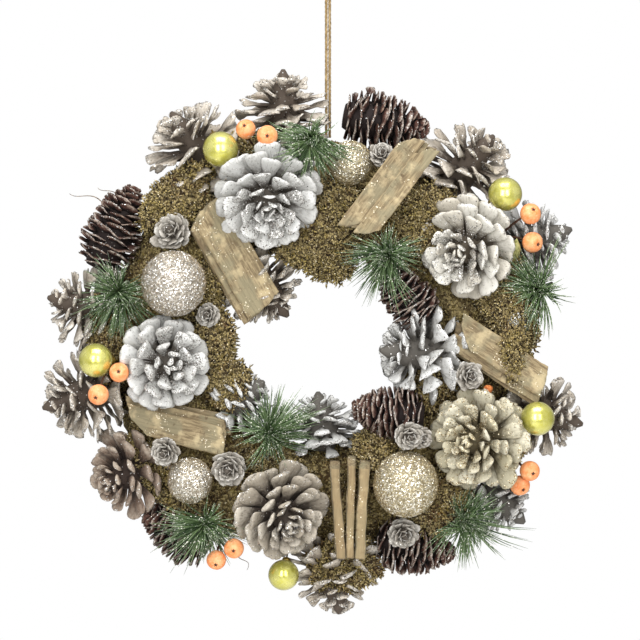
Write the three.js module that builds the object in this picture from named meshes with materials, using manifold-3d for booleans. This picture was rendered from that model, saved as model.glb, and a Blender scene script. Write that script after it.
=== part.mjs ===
// Pinecone wreath: a flat-backed straw ring with moss, cones, bark, baubles, berries and needle
// tufts glued to its front, hanging on a loop of jute twine. Millimetres, +Z up, front to -Y.
import * as THREE from 'three';
import Module from 'manifold-3d';

// Ring
const ringRadius = 95;        // centreline
const ringHalfWidth = 29;     // across the section
const ringDepth = 31;         // flat back to crest
const ringSteps = 40;
const mossThickness = 5;
const mossGap = 0.4;

// Twine: one length, up from the ring, over at the top and back down
const twineDiameter = 1.9;
const twineSpacing = 2.1;     // between the two strands at the ring
const loopTop = 236;          // top of the loop above the ring's centre
const loopSide = 10;          // the loop's place right of the centre
const twineLift = 9;          // in front of the flat back
const twineFoot = 130;        // where the strands leave the ring
const loopRise = 12;          // the part of the loop that opens at the top
const loopOpening = 6;

// Pieces. clock is degrees clockwise from the top, reach is from the ring's centre and lift is in
// front of the flat back, all at the piece's middle. turn and rise are where its axis points:
// turn as clock, rise towards the front.
const openCones = [
  { name: 'open_cone_a', clock: 343, reach: 95, lift: 57, radius: 33, depth: 36, turn: 150, rise: 78 },
  { name: 'open_cone_b', clock: 58, reach: 112, lift: 57, radius: 30, depth: 36, turn: 60, rise: 78 },
  { name: 'open_cone_c', clock: 120, reach: 117, lift: 57, radius: 30, depth: 36, turn: 120, rise: 80 },
  { name: 'open_cone_d', clock: 190, reach: 105, lift: 58, radius: 31, depth: 38, turn: 150, rise: 62 },
  { name: 'open_cone_e', clock: 263, reach: 91, lift: 56, radius: 28, depth: 34, turn: 263, rise: 82 },
  { name: 'open_cone_f', clock: 235, reach: 141, lift: 32, radius: 26, depth: 36, turn: 240, rise: 35 },
];
const frostedCones = [
  { name: 'frosted_cone_a', clock: 329, reach: 149, lift: 28, radius: 21, length: 46, turn: 326, rise: 18 },
  { name: 'frosted_cone_b', clock: 353, reach: 153, lift: 24, radius: 19, length: 42, turn: 355, rise: 8 },
  { name: 'frosted_cone_c', clock: 41, reach: 154, lift: 27, radius: 21, length: 44, turn: 41, rise: 15 },
  { name: 'frosted_cone_d', clock: 65, reach: 160, lift: 22, radius: 18, length: 40, turn: 70, rise: 5 },
  { name: 'frosted_cone_e', clock: 107, reach: 157, lift: 25, radius: 19, length: 42, turn: 104, rise: 10 },
  { name: 'frosted_cone_f', clock: 130, reach: 158, lift: 20, radius: 15, length: 34, turn: 130, rise: 5 },
  { name: 'frosted_cone_g', clock: 174, reach: 150, lift: 26, radius: 21, length: 42, turn: 174, rise: 15 },
  { name: 'frosted_cone_h', clock: 257, reach: 152, lift: 30, radius: 20, length: 44, turn: 250, rise: 0 },
  { name: 'frosted_cone_i', clock: 280, reach: 149, lift: 26, radius: 20, length: 40, turn: 285, rise: 12 },
  { name: 'frosted_cone_j', clock: 94, reach: 60, lift: 50, radius: 21, length: 44, turn: 275, rise: 20 },
  { name: 'frosted_cone_k', clock: 320, reach: 40, lift: 24, radius: 14, length: 34, turn: 140, rise: 5 },
  { name: 'frosted_cone_l', clock: 174, reach: 46, lift: 26, radius: 14, length: 32, turn: 354, rise: 5 },
];
const darkCones = [
  { name: 'dark_cone_a', clock: 19, reach: 145, lift: 26, radius: 15, length: 50, turn: 100, rise: 5 },
  { name: 'dark_cone_b', clock: 302, reach: 142, lift: 26, radius: 16, length: 52, turn: 25, rise: 5 },
  { name: 'dark_cone_c', clock: 131, reach: 62, lift: 46, radius: 13, length: 44, turn: 275, rise: -5 },
  { name: 'dark_cone_d', clock: 60, reach: 65, lift: 44, radius: 12, length: 34, turn: 320, rise: 8 },
  { name: 'dark_cone_e', clock: 153, reach: 143, lift: 24, radius: 14, length: 42, turn: 100, rise: 5 },
  { name: 'dark_cone_f', clock: 217, reach: 143, lift: 24, radius: 14, length: 40, turn: 300, rise: 5 },
];
const larchCones = [
  { name: 'larch_cone_a', clock: 309, reach: 112, lift: 50, radius: 12, depth: 17, turn: 309, rise: 70 },
  { name: 'larch_cone_b', clock: 234, reach: 112, lift: 62, radius: 9, depth: 14, turn: 232, rise: 70 },
  { name: 'larch_cone_c', clock: 214, reach: 92, lift: 58, radius: 11, depth: 16, turn: 214, rise: 75 },
  { name: 'larch_cone_d', clock: 101, reach: 99, lift: 62, radius: 9, depth: 14, turn: 101, rise: 75 },
  { name: 'larch_cone_e', clock: 133, reach: 82, lift: 68, radius: 9, depth: 14, turn: 133, rise: 70 },
  { name: 'larch_cone_f', clock: 154, reach: 130, lift: 50, radius: 10, depth: 16, turn: 154, rise: 65 },
];
const glitterBalls = [
  { name: 'glitter_ball_a', clock: 294, reach: 93, lift: 60, radius: 20 },
  { name: 'glitter_ball_b', clock: 146, reach: 103, lift: 60, radius: 20 },
  { name: 'glitter_ball_c', clock: 222, reach: 112, lift: 54, radius: 14 },
  { name: 'glitter_ball_d', clock: 12, reach: 115, lift: 50, radius: 13.5 },
  { name: 'glitter_ball_e', clock: 83, reach: 125, lift: 42, radius: 11 },
];
const pearlBaubles = [
  { name: 'pearl_bauble_a', clock: 335, reach: 133, lift: 54, radius: 11 },
  { name: 'pearl_bauble_b', clock: 52, reach: 151, lift: 52, radius: 10.5 },
  { name: 'pearl_bauble_c', clock: 266, reach: 133, lift: 60, radius: 10.5 },
  { name: 'pearl_bauble_d', clock: 108, reach: 146, lift: 54, radius: 10.5 },
  { name: 'pearl_bauble_e', clock: 187, reach: 143, lift: 46, radius: 9.5 },
];
const berryRadius = 6.2;
const wireRadius = 0.7;
// Two berries on one forked wire: each berry's clock, reach and lift, and where the wire leaves the ring.
const berrySprigs = [
  { name: 'berry_sprig_a', berries: [[343, 139, 52], [348, 131, 66]], foot: [344, 128, 34] },
  { name: 'berry_sprig_b', berries: [[59, 157, 52], [65, 150, 50]], foot: [60, 134, 36] },
  { name: 'berry_sprig_c', berries: [[262, 119, 66], [257, 134, 66]], foot: [264, 124, 46] },
  { name: 'berry_sprig_d', berries: [[120, 155, 50], [124, 155, 44]], foot: [119, 138, 34] },
  { name: 'berry_sprig_e', berries: [[201, 134, 52], [204, 145, 48]], foot: [205, 126, 34] },
];
const needleTufts = [
  { name: 'needle_tuft_a', clock: 2, reach: 139, lift: 54, radius: 16, length: 24, turn: 30, rise: 30 },
  { name: 'needle_tuft_b', clock: 76, reach: 148, lift: 44, radius: 15, length: 26, turn: 80, rise: 20 },
  { name: 'needle_tuft_c', clock: 40, reach: 74, lift: 60, radius: 15, length: 24, turn: 220, rise: 30 },
  { name: 'needle_tuft_d', clock: 139, reach: 143, lift: 42, radius: 17, length: 26, turn: 135, rise: 35 },
  { name: 'needle_tuft_e', clock: 285, reach: 122, lift: 50, radius: 18, length: 24, turn: 265, rise: 55 },
  { name: 'needle_tuft_f', clock: 211, reach: 128, lift: 48, radius: 17, length: 24, turn: 211, rise: 40 },
  { name: 'needle_tuft_g', clock: 206, reach: 60, lift: 50, radius: 18, length: 24, turn: 26, rise: 50 },
];
const barkBundles = [
  { name: 'bark_bundle_a', clock: 318, reach: 72, lift: 42, length: 70, width: 24, thick: 8, turn: 150 },
  { name: 'bark_bundle_b', clock: 26, reach: 108, lift: 66, length: 66, width: 20, thick: 8, turn: 37 },
  { name: 'bark_bundle_c', clock: 239, reach: 96, lift: 44, length: 62, width: 20, thick: 8, turn: 284 },
  { name: 'bark_bundle_d', clock: 167, reach: 103, lift: 56, length: 58, width: 19, thick: 10, turn: 4 },
  { name: 'bark_bundle_e', clock: 94, reach: 117, lift: 52, length: 62, width: 20, thick: 8, turn: 123 },
];

const finishes = {
  straw: { colour: 0x9a8150, roughness: 0.95, metalness: 0 },
  moss: { colour: 0x7a6132, roughness: 0.98, metalness: 0 },
  twine: { colour: 0xb39a6b, roughness: 0.95, metalness: 0 },
  openCone: { colour: 0xcfccc6, roughness: 0.8, metalness: 0 },
  frostedCone: { colour: 0xaaa59b, roughness: 0.85, metalness: 0 },
  darkCone: { colour: 0x4a3128, roughness: 0.8, metalness: 0 },
  larchCone: { colour: 0xa09788, roughness: 0.85, metalness: 0 },
  glitter: { colour: 0xcbbda4, roughness: 0.35, metalness: 0.6 },
  pearl: { colour: 0xbcc05a, roughness: 0.25, metalness: 0.4 },
  berry: { colour: 0xf09a5a, roughness: 0.7, metalness: 0 },
  needles: { colour: 0x5d8a5e, roughness: 0.7, metalness: 0 },
  bark: { colour: 0xa8957a, roughness: 0.9, metalness: 0 },
};

const wasm = await Module();
wasm.setup();
const group = new THREE.Group();
group.name = 'pinecone_wreath';

function spot(clock, reach, lift) {
  const a = THREE.MathUtils.degToRad(clock);
  return new THREE.Vector3(reach * Math.sin(a), -lift, reach * Math.cos(a));
}

function heading(turn, rise) {
  const a = THREE.MathUtils.degToRad(turn);
  const b = THREE.MathUtils.degToRad(rise);
  return new THREE.Vector3(Math.sin(a) * Math.cos(b), -Math.sin(b), Math.cos(a) * Math.cos(b));
}

// Moves the origin from the ring's centre to the loop's top and names the node.
function keep(geometry, name, finish) {
  const look = finishes[finish];
  const material = new THREE.MeshStandardMaterial({
    color: look.colour,
    roughness: look.roughness,
    metalness: look.metalness,
  });
  geometry.translate(-loopSide, twineLift, -loopTop);
  const mesh = new THREE.Mesh(geometry, material);
  mesh.name = name;
  group.add(mesh);
}

// A turned solid whose axis points along the piece's heading, its middle on the piece's spot.
function turned(profile, height, piece, sides) {
  const points = profile.map(([r, h]) => new THREE.Vector2(r, h - height / 2));
  const geometry = new THREE.LatheGeometry(points, sides);
  const aim = heading(piece.turn, piece.rise);
  geometry.applyQuaternion(new THREE.Quaternion().setFromUnitVectors(new THREE.Vector3(0, 1, 0), aim));
  const at = spot(piece.clock, piece.reach, piece.lift);
  geometry.translate(at.x, at.y, at.z);
  return geometry;
}

function ringSection(halfWidth, depth, back) {
  const points = [];
  const arcSteps = 8;
  for (let i = 0; i <= arcSteps; i += 1) {
    const a = (Math.PI * i) / arcSteps;
    points.push(new THREE.Vector2(ringRadius - halfWidth * Math.cos(a), back + (depth - back) * Math.sin(a)));
  }
  return points;
}

// Turns a section drawn as radius and lift round the ring's own axis, which points to the front.
function roundRing(points) {
  points.push(points[0].clone());
  return new THREE.LatheGeometry(points.reverse(), ringSteps).rotateX(Math.PI);
}

function ringBase() {
  return roundRing(ringSection(ringHalfWidth, ringDepth, 0));
}

// A coat over the ring's front that stops short of the flat back.
function mossBed() {
  const inner = ringSection(ringHalfWidth + mossGap, ringDepth + mossGap, 6);
  const outer = ringSection(ringHalfWidth + mossThickness, ringDepth + mossThickness, 6);
  return roundRing(outer.concat(inner.reverse()));
}

function openCone(piece) {
  const r = piece.radius;
  const d = piece.depth;
  const rim = [[0.85 * r, 0.3 * d], [r, 0.5 * d], [0.75 * r, 0.8 * d], [0.3 * r, d]];
  const profile = [[0, 0], [0.35 * r, 0], ...rim, [0, d]];
  return turned(profile, d, piece, 14);
}

function longCone(piece) {
  const r = piece.radius;
  const l = piece.length;
  const profile = [[0, 0], [0.55 * r, 0], [r, 0.3 * l], [0.9 * r, 0.6 * l], [0.45 * r, 0.92 * l], [0, l]];
  return turned(profile, l, piece, 12);
}

function larchCone(piece) {
  const r = piece.radius;
  const d = piece.depth;
  const profile = [[0, 0], [0.5 * r, 0], [r, 0.4 * d], [0.8 * r, 0.75 * d], [0, d]];
  return turned(profile, d, piece, 10);
}

function tuft(piece) {
  const r = piece.radius;
  const l = piece.length;
  const profile = [[0, 0], [0.3 * r, 0], [0.95 * r, 0.6 * l], [0.7 * r, 0.9 * l], [0, l]];
  return turned(profile, l, piece, 12);
}

function ball(piece) {
  const geometry = new THREE.IcosahedronGeometry(piece.radius, piece.radius > 12 ? 3 : 2);
  const at = spot(piece.clock, piece.reach, piece.lift);
  return geometry.translate(at.x, at.y, at.z);
}

// A stack of strips as one block, its length along turn and its face to the front.
function barkBundle(piece) {
  const geometry = new THREE.BoxGeometry(piece.width, piece.thick, piece.length);
  geometry.rotateY(THREE.MathUtils.degToRad(piece.turn));
  const at = spot(piece.clock, piece.reach, piece.lift);
  return geometry.translate(at.x, at.y, at.z);
}

function solidOf(geometry) {
  const bare = new THREE.BufferGeometry();
  const loose = geometry.index ? geometry.toNonIndexed() : geometry;
  bare.setAttribute('position', loose.getAttribute('position').clone());
  const positions = bare.getAttribute('position').array;
  const mesh = new wasm.Mesh({
    numProp: 3,
    vertProperties: new Float32Array(positions),
    triVerts: Uint32Array.from({ length: positions.length / 3 }, (_, i) => i),
  });
  mesh.merge();
  return new wasm.Manifold(mesh);
}

function geometryOf(solid) {
  const mesh = solid.getMesh();
  const geometry = new THREE.BufferGeometry();
  geometry.setAttribute('position', new THREE.BufferAttribute(new Float32Array(mesh.vertProperties), 3));
  geometry.setIndex(new THREE.BufferAttribute(new Uint32Array(mesh.triVerts), 1));
  return geometry;
}

function wire(from, to) {
  const along = to.clone().sub(from);
  const geometry = new THREE.CylinderGeometry(wireRadius, wireRadius, along.length(), 6);
  const upright = new THREE.Vector3(0, 1, 0);
  geometry.applyQuaternion(new THREE.Quaternion().setFromUnitVectors(upright, along.normalize()));
  const middle = from.clone().add(to).multiplyScalar(0.5);
  return geometry.translate(middle.x, middle.y, middle.z);
}

function berrySprig(piece) {
  const foot = spot(...piece.foot);
  let solid = null;
  for (const berry of piece.berries) {
    const at = spot(...berry);
    const globe = new THREE.IcosahedronGeometry(berryRadius, 2).translate(at.x, at.y, at.z);
    const one = solidOf(globe).add(solidOf(wire(foot, at)));
    solid = solid ? solid.add(one) : one;
  }
  return geometryOf(solid);
}

// The twine's middle line: up one strand, over the top and down the other.
function twineRoute() {
  const points = [];
  const straightSteps = 12;
  const archSteps = 8;
  const turnHeight = loopTop - loopRise;
  for (let i = 0; i <= straightSteps; i += 1) {
    const t = i / straightSteps;
    points.push(new THREE.Vector3(-twineSpacing / 2, 0, twineFoot + (turnHeight - twineFoot) * t));
  }
  const half = [];
  for (let i = 1; i <= archSteps; i += 1) {
    const a = ((Math.PI / 2) * i) / archSteps;
    const side = Math.cos(a) * (twineSpacing / 2 + loopOpening * Math.sin(a));
    half.push(new THREE.Vector3(-side, 0, turnHeight + (loopRise - twineDiameter / 2) * Math.sin(a)));
  }
  points.push(...half);
  const mirrored = points.slice(0, -1).map((p) => new THREE.Vector3(-p.x, 0, p.z));
  points.push(...mirrored.reverse());
  return points.map((p) => new THREE.Vector3(p.x + loopSide, -twineLift, p.z));
}

function hangingTwine() {
  const route = new THREE.CatmullRomCurve3(twineRoute(), false, 'centripetal');
  const section = new THREE.Shape();
  const sides = 8;
  for (let i = 0; i <= sides; i += 1) {
    const a = (2 * Math.PI * i) / sides;
    const x = (twineDiameter / 2) * Math.cos(a);
    const y = (twineDiameter / 2) * Math.sin(a);
    if (i === 0) section.moveTo(x, y);
    else section.lineTo(x, y);
  }
  const settings = { steps: 44, extrudePath: route, bevelEnabled: false, curveSegments: 1 };
  return new THREE.ExtrudeGeometry(section, settings);
}

keep(ringBase(), 'ring_base', 'straw');
keep(mossBed(), 'moss_bed', 'moss');
keep(hangingTwine(), 'hanging_twine', 'twine');
for (const piece of openCones) keep(openCone(piece), piece.name, 'openCone');
for (const piece of frostedCones) keep(longCone(piece), piece.name, 'frostedCone');
for (const piece of darkCones) keep(longCone(piece), piece.name, 'darkCone');
for (const piece of larchCones) keep(larchCone(piece), piece.name, 'larchCone');
for (const piece of glitterBalls) keep(ball(piece), piece.name, 'glitter');
for (const piece of pearlBaubles) keep(ball(piece), piece.name, 'pearl');
for (const piece of berrySprigs) keep(berrySprig(piece), piece.name, 'berry');
for (const piece of needleTufts) keep(tuft(piece), piece.name, 'needles');
for (const piece of barkBundles) keep(barkBundle(piece), piece.name, 'bark');

export default group;
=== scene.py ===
import math
import bpy
import numpy as np
from mathutils import Matrix, Vector, noise


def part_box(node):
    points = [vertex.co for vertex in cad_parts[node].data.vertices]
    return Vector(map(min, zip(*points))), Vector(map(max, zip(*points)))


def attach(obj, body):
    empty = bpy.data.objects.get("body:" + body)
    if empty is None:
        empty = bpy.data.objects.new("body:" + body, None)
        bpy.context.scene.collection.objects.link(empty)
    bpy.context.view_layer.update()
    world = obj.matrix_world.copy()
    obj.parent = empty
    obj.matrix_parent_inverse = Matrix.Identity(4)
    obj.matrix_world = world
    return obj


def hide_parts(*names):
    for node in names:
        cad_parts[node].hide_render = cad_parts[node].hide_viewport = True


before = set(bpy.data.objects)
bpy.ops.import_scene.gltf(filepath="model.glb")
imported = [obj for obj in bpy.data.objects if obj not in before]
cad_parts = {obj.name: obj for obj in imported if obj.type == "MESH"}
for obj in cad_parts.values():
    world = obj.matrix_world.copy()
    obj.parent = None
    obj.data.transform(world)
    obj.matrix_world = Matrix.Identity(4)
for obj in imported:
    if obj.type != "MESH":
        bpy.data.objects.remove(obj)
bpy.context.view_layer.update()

mm = 0.001
goldenAngle = math.radians(137.508)
ringLow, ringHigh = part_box("ring_base")
ringMiddle = (ringLow + ringHigh) / 2
backPlane = ringHigh.y
floorDrop = 0.95


def nodeMiddle(node):
    low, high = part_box(node)
    return (low + high) / 2


# clock is degrees clockwise from the top, reach is from the ring's middle, lift is in front of its flat back
def spot(clock, reach, lift):
    a = math.radians(clock)
    across, up = reach * mm * math.sin(a), reach * mm * math.cos(a)
    return Vector((ringMiddle.x + across, backPlane - lift * mm, ringMiddle.z + up))


def heading(turn, rise):
    a, b = math.radians(turn), math.radians(rise)
    return Vector((math.sin(a) * math.cos(b), -math.sin(b), math.cos(a) * math.cos(b)))


def towards(aim, roll=0.0):
    turn = aim.to_track_quat("Z", "Y").to_matrix() @ Matrix.Rotation(math.radians(roll), 3, "Z")
    return np.array(turn)


def paint(code):
    values = [int(code[i:i + 2], 16) / 255 for i in (0, 2, 4)]
    return tuple(v / 12.92 if v <= 0.04045 else ((v + 0.055) / 1.055) ** 2.4 for v in values) + (1.0,)


# What would go through the wall behind the flat back bends forward along it
def pressFlat(points):
    limit = backPlane - 0.003
    beyond = points[:, 1] > limit
    points[beyond, 1] = limit + (points[beyond, 1] - limit) * 0.2
    return points


def cloud(points, size, seed=0.0):
    shift = Vector((seed * 7.3, seed * 3.1, seed * 5.7))
    return np.array([noise.noise(Vector(p) / size + shift) for p in points])


# Camera, straight at the ring's front
cameraSetup = {"distance": 2.2, "widthShown": 0.397, "right": 0.0050, "above": 0.0155, "sensor": 36.0}


def addCamera():
    cam = bpy.data.cameras.new("wreathCamera")
    cam.sensor_width = cameraSetup["sensor"]
    cam.lens = cameraSetup["sensor"] * cameraSetup["distance"] / cameraSetup["widthShown"]
    cam.clip_start, cam.clip_end = 0.05, 30
    holder = bpy.data.objects.new("wreathCamera", cam)
    holder.location = (
        ringMiddle.x + cameraSetup["right"],
        ringMiddle.y - 0.02 - cameraSetup["distance"],
        ringMiddle.z + cameraSetup["above"],
    )
    holder.rotation_euler = (math.radians(90), 0, 0)
    bpy.context.collection.objects.link(holder)
    bpy.context.scene.camera = holder


addCamera()
print("camera placed")


# Mesh building: every piece is a list of parts, each with points, faces and named values for its points
def makePiece(name, parts, materials, nodes=(), smooth=True):
    points, faces, picks, values = [], [], [], {}
    keys = sorted({k for part in parts for k in part.get("values", {})})
    start = 0
    for part in parts:
        points.append(part["points"])
        faces += [tuple(int(i) + start for i in f) for f in part["faces"]]
        picks += [part.get("material", 0)] * len(part["faces"])
        for k in keys:
            given = part.get("values", {}).get(k, 0.5)
            values.setdefault(k, []).append(np.broadcast_to(given, len(part["points"])).astype(float))
        start += len(part["points"])
    mesh = bpy.data.meshes.new(name)
    mesh.from_pydata(np.concatenate(points).tolist(), [], faces)
    mesh.polygons.foreach_set("material_index", picks)
    mesh.polygons.foreach_set("use_smooth", [smooth] * len(faces))
    for k in keys:
        mesh.attributes.new(k, "FLOAT", "POINT").data.foreach_set("value", np.concatenate(values[k]))
    for material in materials:
        mesh.materials.append(material)
    mesh.update()
    piece = bpy.data.objects.new(name, mesh)
    bpy.context.collection.objects.link(piece)
    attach(piece, "root")
    if nodes:
        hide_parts(*nodes)
    return piece


# Faces of a closed skin over rings of points, with a fan at each end
def loftFaces(rings, sides):
    faces = []
    for k in range(rings - 1):
        for s in range(sides):
            n = (s + 1) % sides
            faces.append((k * sides + s, k * sides + n, (k + 1) * sides + n, (k + 1) * sides + s))
    faces.append(tuple(range(sides - 1, -1, -1)))
    faces.append(tuple((rings - 1) * sides + s for s in range(sides)))
    return faces


def manyFaces(one, count, pointsEach):
    base = [np.array(f) for f in one]
    return [tuple(f + k * pointsEach) for k in range(count) for f in base]


# A thin round strand along a line of points; thick may change along it
def strand(line, thick, sides=5, values=None):
    line = np.asarray(line, float)
    ahead = np.gradient(line, axis=0)
    ahead /= np.linalg.norm(ahead, axis=1)[:, None] + 1e-12
    side = np.cross(ahead[0], [0.31, 0.52, 0.79])
    rings = []
    thick = np.broadcast_to(thick, len(line))
    for k in range(len(line)):
        side = side - ahead[k] * side.dot(ahead[k])
        side /= np.linalg.norm(side)
        other = np.cross(ahead[k], side)
        a = np.arange(sides) * 2 * math.pi / sides
        rings.append(line[k] + thick[k] * (np.cos(a)[:, None] * side + np.sin(a)[:, None] * other))
    part = {"points": np.concatenate(rings), "faces": loftFaces(len(line), sides)}
    along = np.repeat(np.linspace(0, 1, len(line)), sides)
    part["values"] = {"along": along, **(values or {})}
    return part


# A solid turned round its own Z axis, from a profile of (radius, height)
def turnedSolid(profile, sides, place, turn=None, values=None):
    profile = np.asarray(profile, float)
    a = np.arange(sides) * 2 * math.pi / sides
    rings = [np.stack([r * np.cos(a), r * np.sin(a), np.full(sides, h)], 1) for r, h in profile]
    points = np.concatenate(rings)
    if turn is not None:
        points = points @ turn.T
    part = {"points": points + np.array(place), "faces": loftFaces(len(profile), sides)}
    part["values"] = {"along": np.repeat(np.linspace(0, 1, len(profile)), sides), **(values or {})}
    return part


# Shader building
class Sheet:
    def __init__(self, tree):
        self.tree = tree

    def add(self, kind, link=None, **settings):
        node = self.tree.nodes.new(kind)
        for key, value in settings.items():
            setattr(node, key, value)
        for key, value in (link or {}).items():
            target = node.inputs[key]
            if isinstance(value, bpy.types.NodeSocket):
                self.tree.links.new(value, target)
            else:
                target.default_value = value
        return node

    def maths(self, operation, a, b):
        return self.add("ShaderNodeMath", {0: a, 1: b}, operation=operation).outputs[0]

    def vectors(self, operation, link):
        return self.add("ShaderNodeVectorMath", link, operation=operation).outputs[0]

    def mix(self, factor, a, b):
        node = self.add("ShaderNodeMix", data_type="RGBA")
        for index, value in ((0, factor), (6, a), (7, b)):
            if isinstance(value, bpy.types.NodeSocket):
                self.tree.links.new(value, node.inputs[index])
            else:
                node.inputs[index].default_value = value
        return node.outputs[2]

    def ramp(self, value, low, high, floor=0.0, top=1.0):
        link = {"Value": value, "From Min": low, "From Max": high, "To Min": floor, "To Max": top}
        return self.add("ShaderNodeMapRange", link, interpolation_type="SMOOTHSTEP").outputs["Result"]

    def value(self, name):
        return self.add("ShaderNodeAttribute", attribute_name=name).outputs["Fac"]

    def place(self):
        return self.add("ShaderNodeTexCoord").outputs["Object"]

    def cloudy(self, scale, detail=3.0, where=None, rough=0.55):
        link = {"Vector": where or self.place(), "Scale": scale, "Detail": detail, "Roughness": rough}
        return self.add("ShaderNodeTexNoise", link).outputs["Fac"]

    def effect(self, group, **values):
        node = self.tree.nodes.new("ShaderNodeGroup")
        node.node_tree = group
        for key, value in values.items():
            target = node.inputs[key]
            if isinstance(value, bpy.types.NodeSocket):
                self.tree.links.new(value, target)
            else:
                target.default_value = value
        return node.outputs


def newEffect(name, inputs, outputs):
    group = bpy.data.node_groups.new(name, "ShaderNodeTree")
    for label, kind, value in inputs:
        socket = group.interface.new_socket(label, in_out="INPUT", socket_type=kind)
        if value is not None:
            socket.default_value = value
    for label, kind in outputs:
        group.interface.new_socket(label, in_out="OUTPUT", socket_type=kind)
    sheet = Sheet(group)
    return group, sheet, sheet.add("NodeGroupInput").outputs, sheet.add("NodeGroupOutput").inputs


number, vector = "NodeSocketFloat", "NodeSocketVector"


# Loose flakes stuck on a surface: Mask is where they are, Tone how bright each is, Normal how each leans
def buildGlitter():
    inputs = [("Flakes", number, 1100.0), ("Amount", number, 0.3)]
    inputs += [("Where", number, 1.0), ("Lean", number, 1.1)]
    outputs = [("Mask", number), ("Tone", number), ("Height", number), ("Normal", vector)]
    group, sheet, given, out = newEffect("glitter", inputs, outputs)
    cells = sheet.add("ShaderNodeTexVoronoi", {"Vector": sheet.place(), "Scale": given["Flakes"]})
    split = sheet.add("ShaderNodeSeparateColor", {"Color": cells.outputs["Color"]}).outputs
    chance = sheet.maths("MULTIPLY", given["Amount"], given["Where"])
    picked = sheet.maths("LESS_THAN", split[0], chance)
    disc = sheet.maths("LESS_THAN", cells.outputs["Distance"], 0.55)
    mask = sheet.maths("MULTIPLY", picked, disc)
    tone = sheet.ramp(split[1], 0.2, 0.95)
    loose = sheet.add("ShaderNodeTexWhiteNoise", {"Vector": cells.outputs["Position"]}).outputs["Color"]
    centred = sheet.vectors("SUBTRACT", {0: loose, 1: (0.5, 0.5, 0.5)})
    leaning = sheet.vectors("SCALE", {0: centred, "Scale": given["Lean"]})
    upright = sheet.add("ShaderNodeNewGeometry").outputs["Normal"]
    facing = sheet.vectors("NORMALIZE", {0: sheet.vectors("ADD", {0: upright, 1: leaning})})
    sheet.tree.links.new(facing, out["Normal"])
    sheet.tree.links.new(mask, out["Mask"])
    sheet.tree.links.new(tone, out["Tone"])
    sheet.tree.links.new(sheet.maths("MULTIPLY", mask, split[2]), out["Height"])
    return group


# White frost that gathers on tips and rims and wears off in patches
def buildFrost():
    inputs = [("Reach", number, 0.5), ("Start", number, 0.3), ("Full", number, 0.8)]
    inputs += [("Patch", number, 0.35), ("Size", number, 160.0)]
    group, sheet, given, out = newEffect("frost", inputs, [("Mask", number), ("Height", number)])
    patches = sheet.cloudy(given["Size"], 4.0)
    swing = sheet.maths("MULTIPLY", sheet.maths("SUBTRACT", patches, 0.5), given["Patch"])
    level = sheet.maths("ADD", given["Reach"], sheet.maths("MULTIPLY", swing, 4.0))
    mask = sheet.ramp(level, given["Start"], given["Full"])
    sheet.tree.links.new(mask, out["Mask"])
    sheet.tree.links.new(sheet.maths("MULTIPLY", mask, patches), out["Height"])
    return group


# Fine lines of grain, long in one direction
def buildGrain():
    inputs = [("Vector", vector, None), ("Stretch", vector, (1.0, 1.0, 1.0)), ("Size", number, 300.0)]
    group, sheet, given, out = newEffect("grain", inputs, [("Lines", number), ("Shade", number)])
    where = sheet.vectors("MULTIPLY", {0: given["Vector"], 1: given["Stretch"]})
    sheet.tree.links.new(sheet.cloudy(given["Size"], 5.0, where, 0.65), out["Lines"])
    sheet.tree.links.new(sheet.cloudy(70.0, 2.0, given["Vector"], 0.5), out["Shade"])
    return group


glitterEffect, frostEffect, grainEffect = buildGlitter(), buildFrost(), buildGrain()


def newMaterial(name, **shader):
    material = bpy.data.materials.new(name)
    material.use_nodes = True
    tree = material.node_tree
    principled = next(n for n in tree.nodes if n.type == "BSDF_PRINCIPLED")
    for key, value in shader.items():
        principled.inputs[key.replace("_", " ")].default_value = value
    return material, Sheet(tree), principled


def connect(
    sheet, principled, shade, roughOut=None, metalOut=None, height=None, bumpSize=0.0004, flakes=None
):
    links = sheet.tree.links
    links.new(shade, principled.inputs["Base Color"])
    if roughOut is not None:
        links.new(roughOut, principled.inputs["Roughness"])
    if metalOut is not None:
        links.new(metalOut, principled.inputs["Metallic"])
    if height is not None:
        bump = sheet.add("ShaderNodeBump", {"Height": height, "Distance": bumpSize, "Strength": 1.0})
        normal = bump.outputs["Normal"]
        if flakes is not None:
            both = {0: flakes["Mask"], 4: normal, 5: flakes["Normal"]}
            normal = sheet.add("ShaderNodeMix", both, data_type="VECTOR").outputs[1]
        links.new(normal, principled.inputs["Normal"])


# Twine: three plies twisted round each other, up one strand, over the top and down the other
twineSetup = {
    "diameter": 1.9, "spacing": 2.1, "foot": 130.0, "top": 236.0, "loopRise": 12.0,
    "loopOpening": 6.0, "twist": 8.5, "step": 0.55, "fibres": 300,
}


def twineMiddleLine():
    t = twineSetup
    turnHeight = t["top"] - t["loopRise"]
    half = t["spacing"] / 2
    up = [(-half, z) for z in np.linspace(t["foot"], turnHeight, 13)]
    arch = []
    for a in np.linspace(0, math.pi / 2, 9)[1:]:
        side = math.cos(a) * (half + t["loopOpening"] * math.sin(a))
        arch.append((-side, turnHeight + (t["loopRise"] - t["diameter"] / 2) * math.sin(a)))
    route = up + arch
    route += [(-x, z) for x, z in reversed(route[:-1])]
    return np.array([(x * mm, 0.0, ringMiddle.z + z * mm) for x, z in route])


def evenly(line, step):
    gaps = np.linalg.norm(np.diff(line, axis=0), axis=1)
    at = np.concatenate([[0], np.cumsum(gaps)])
    wanted = np.linspace(0, at[-1], int(at[-1] / step) + 2)
    return np.stack([np.interp(wanted, at, line[:, k]) for k in range(3)], 1), float(at[-1])


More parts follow.
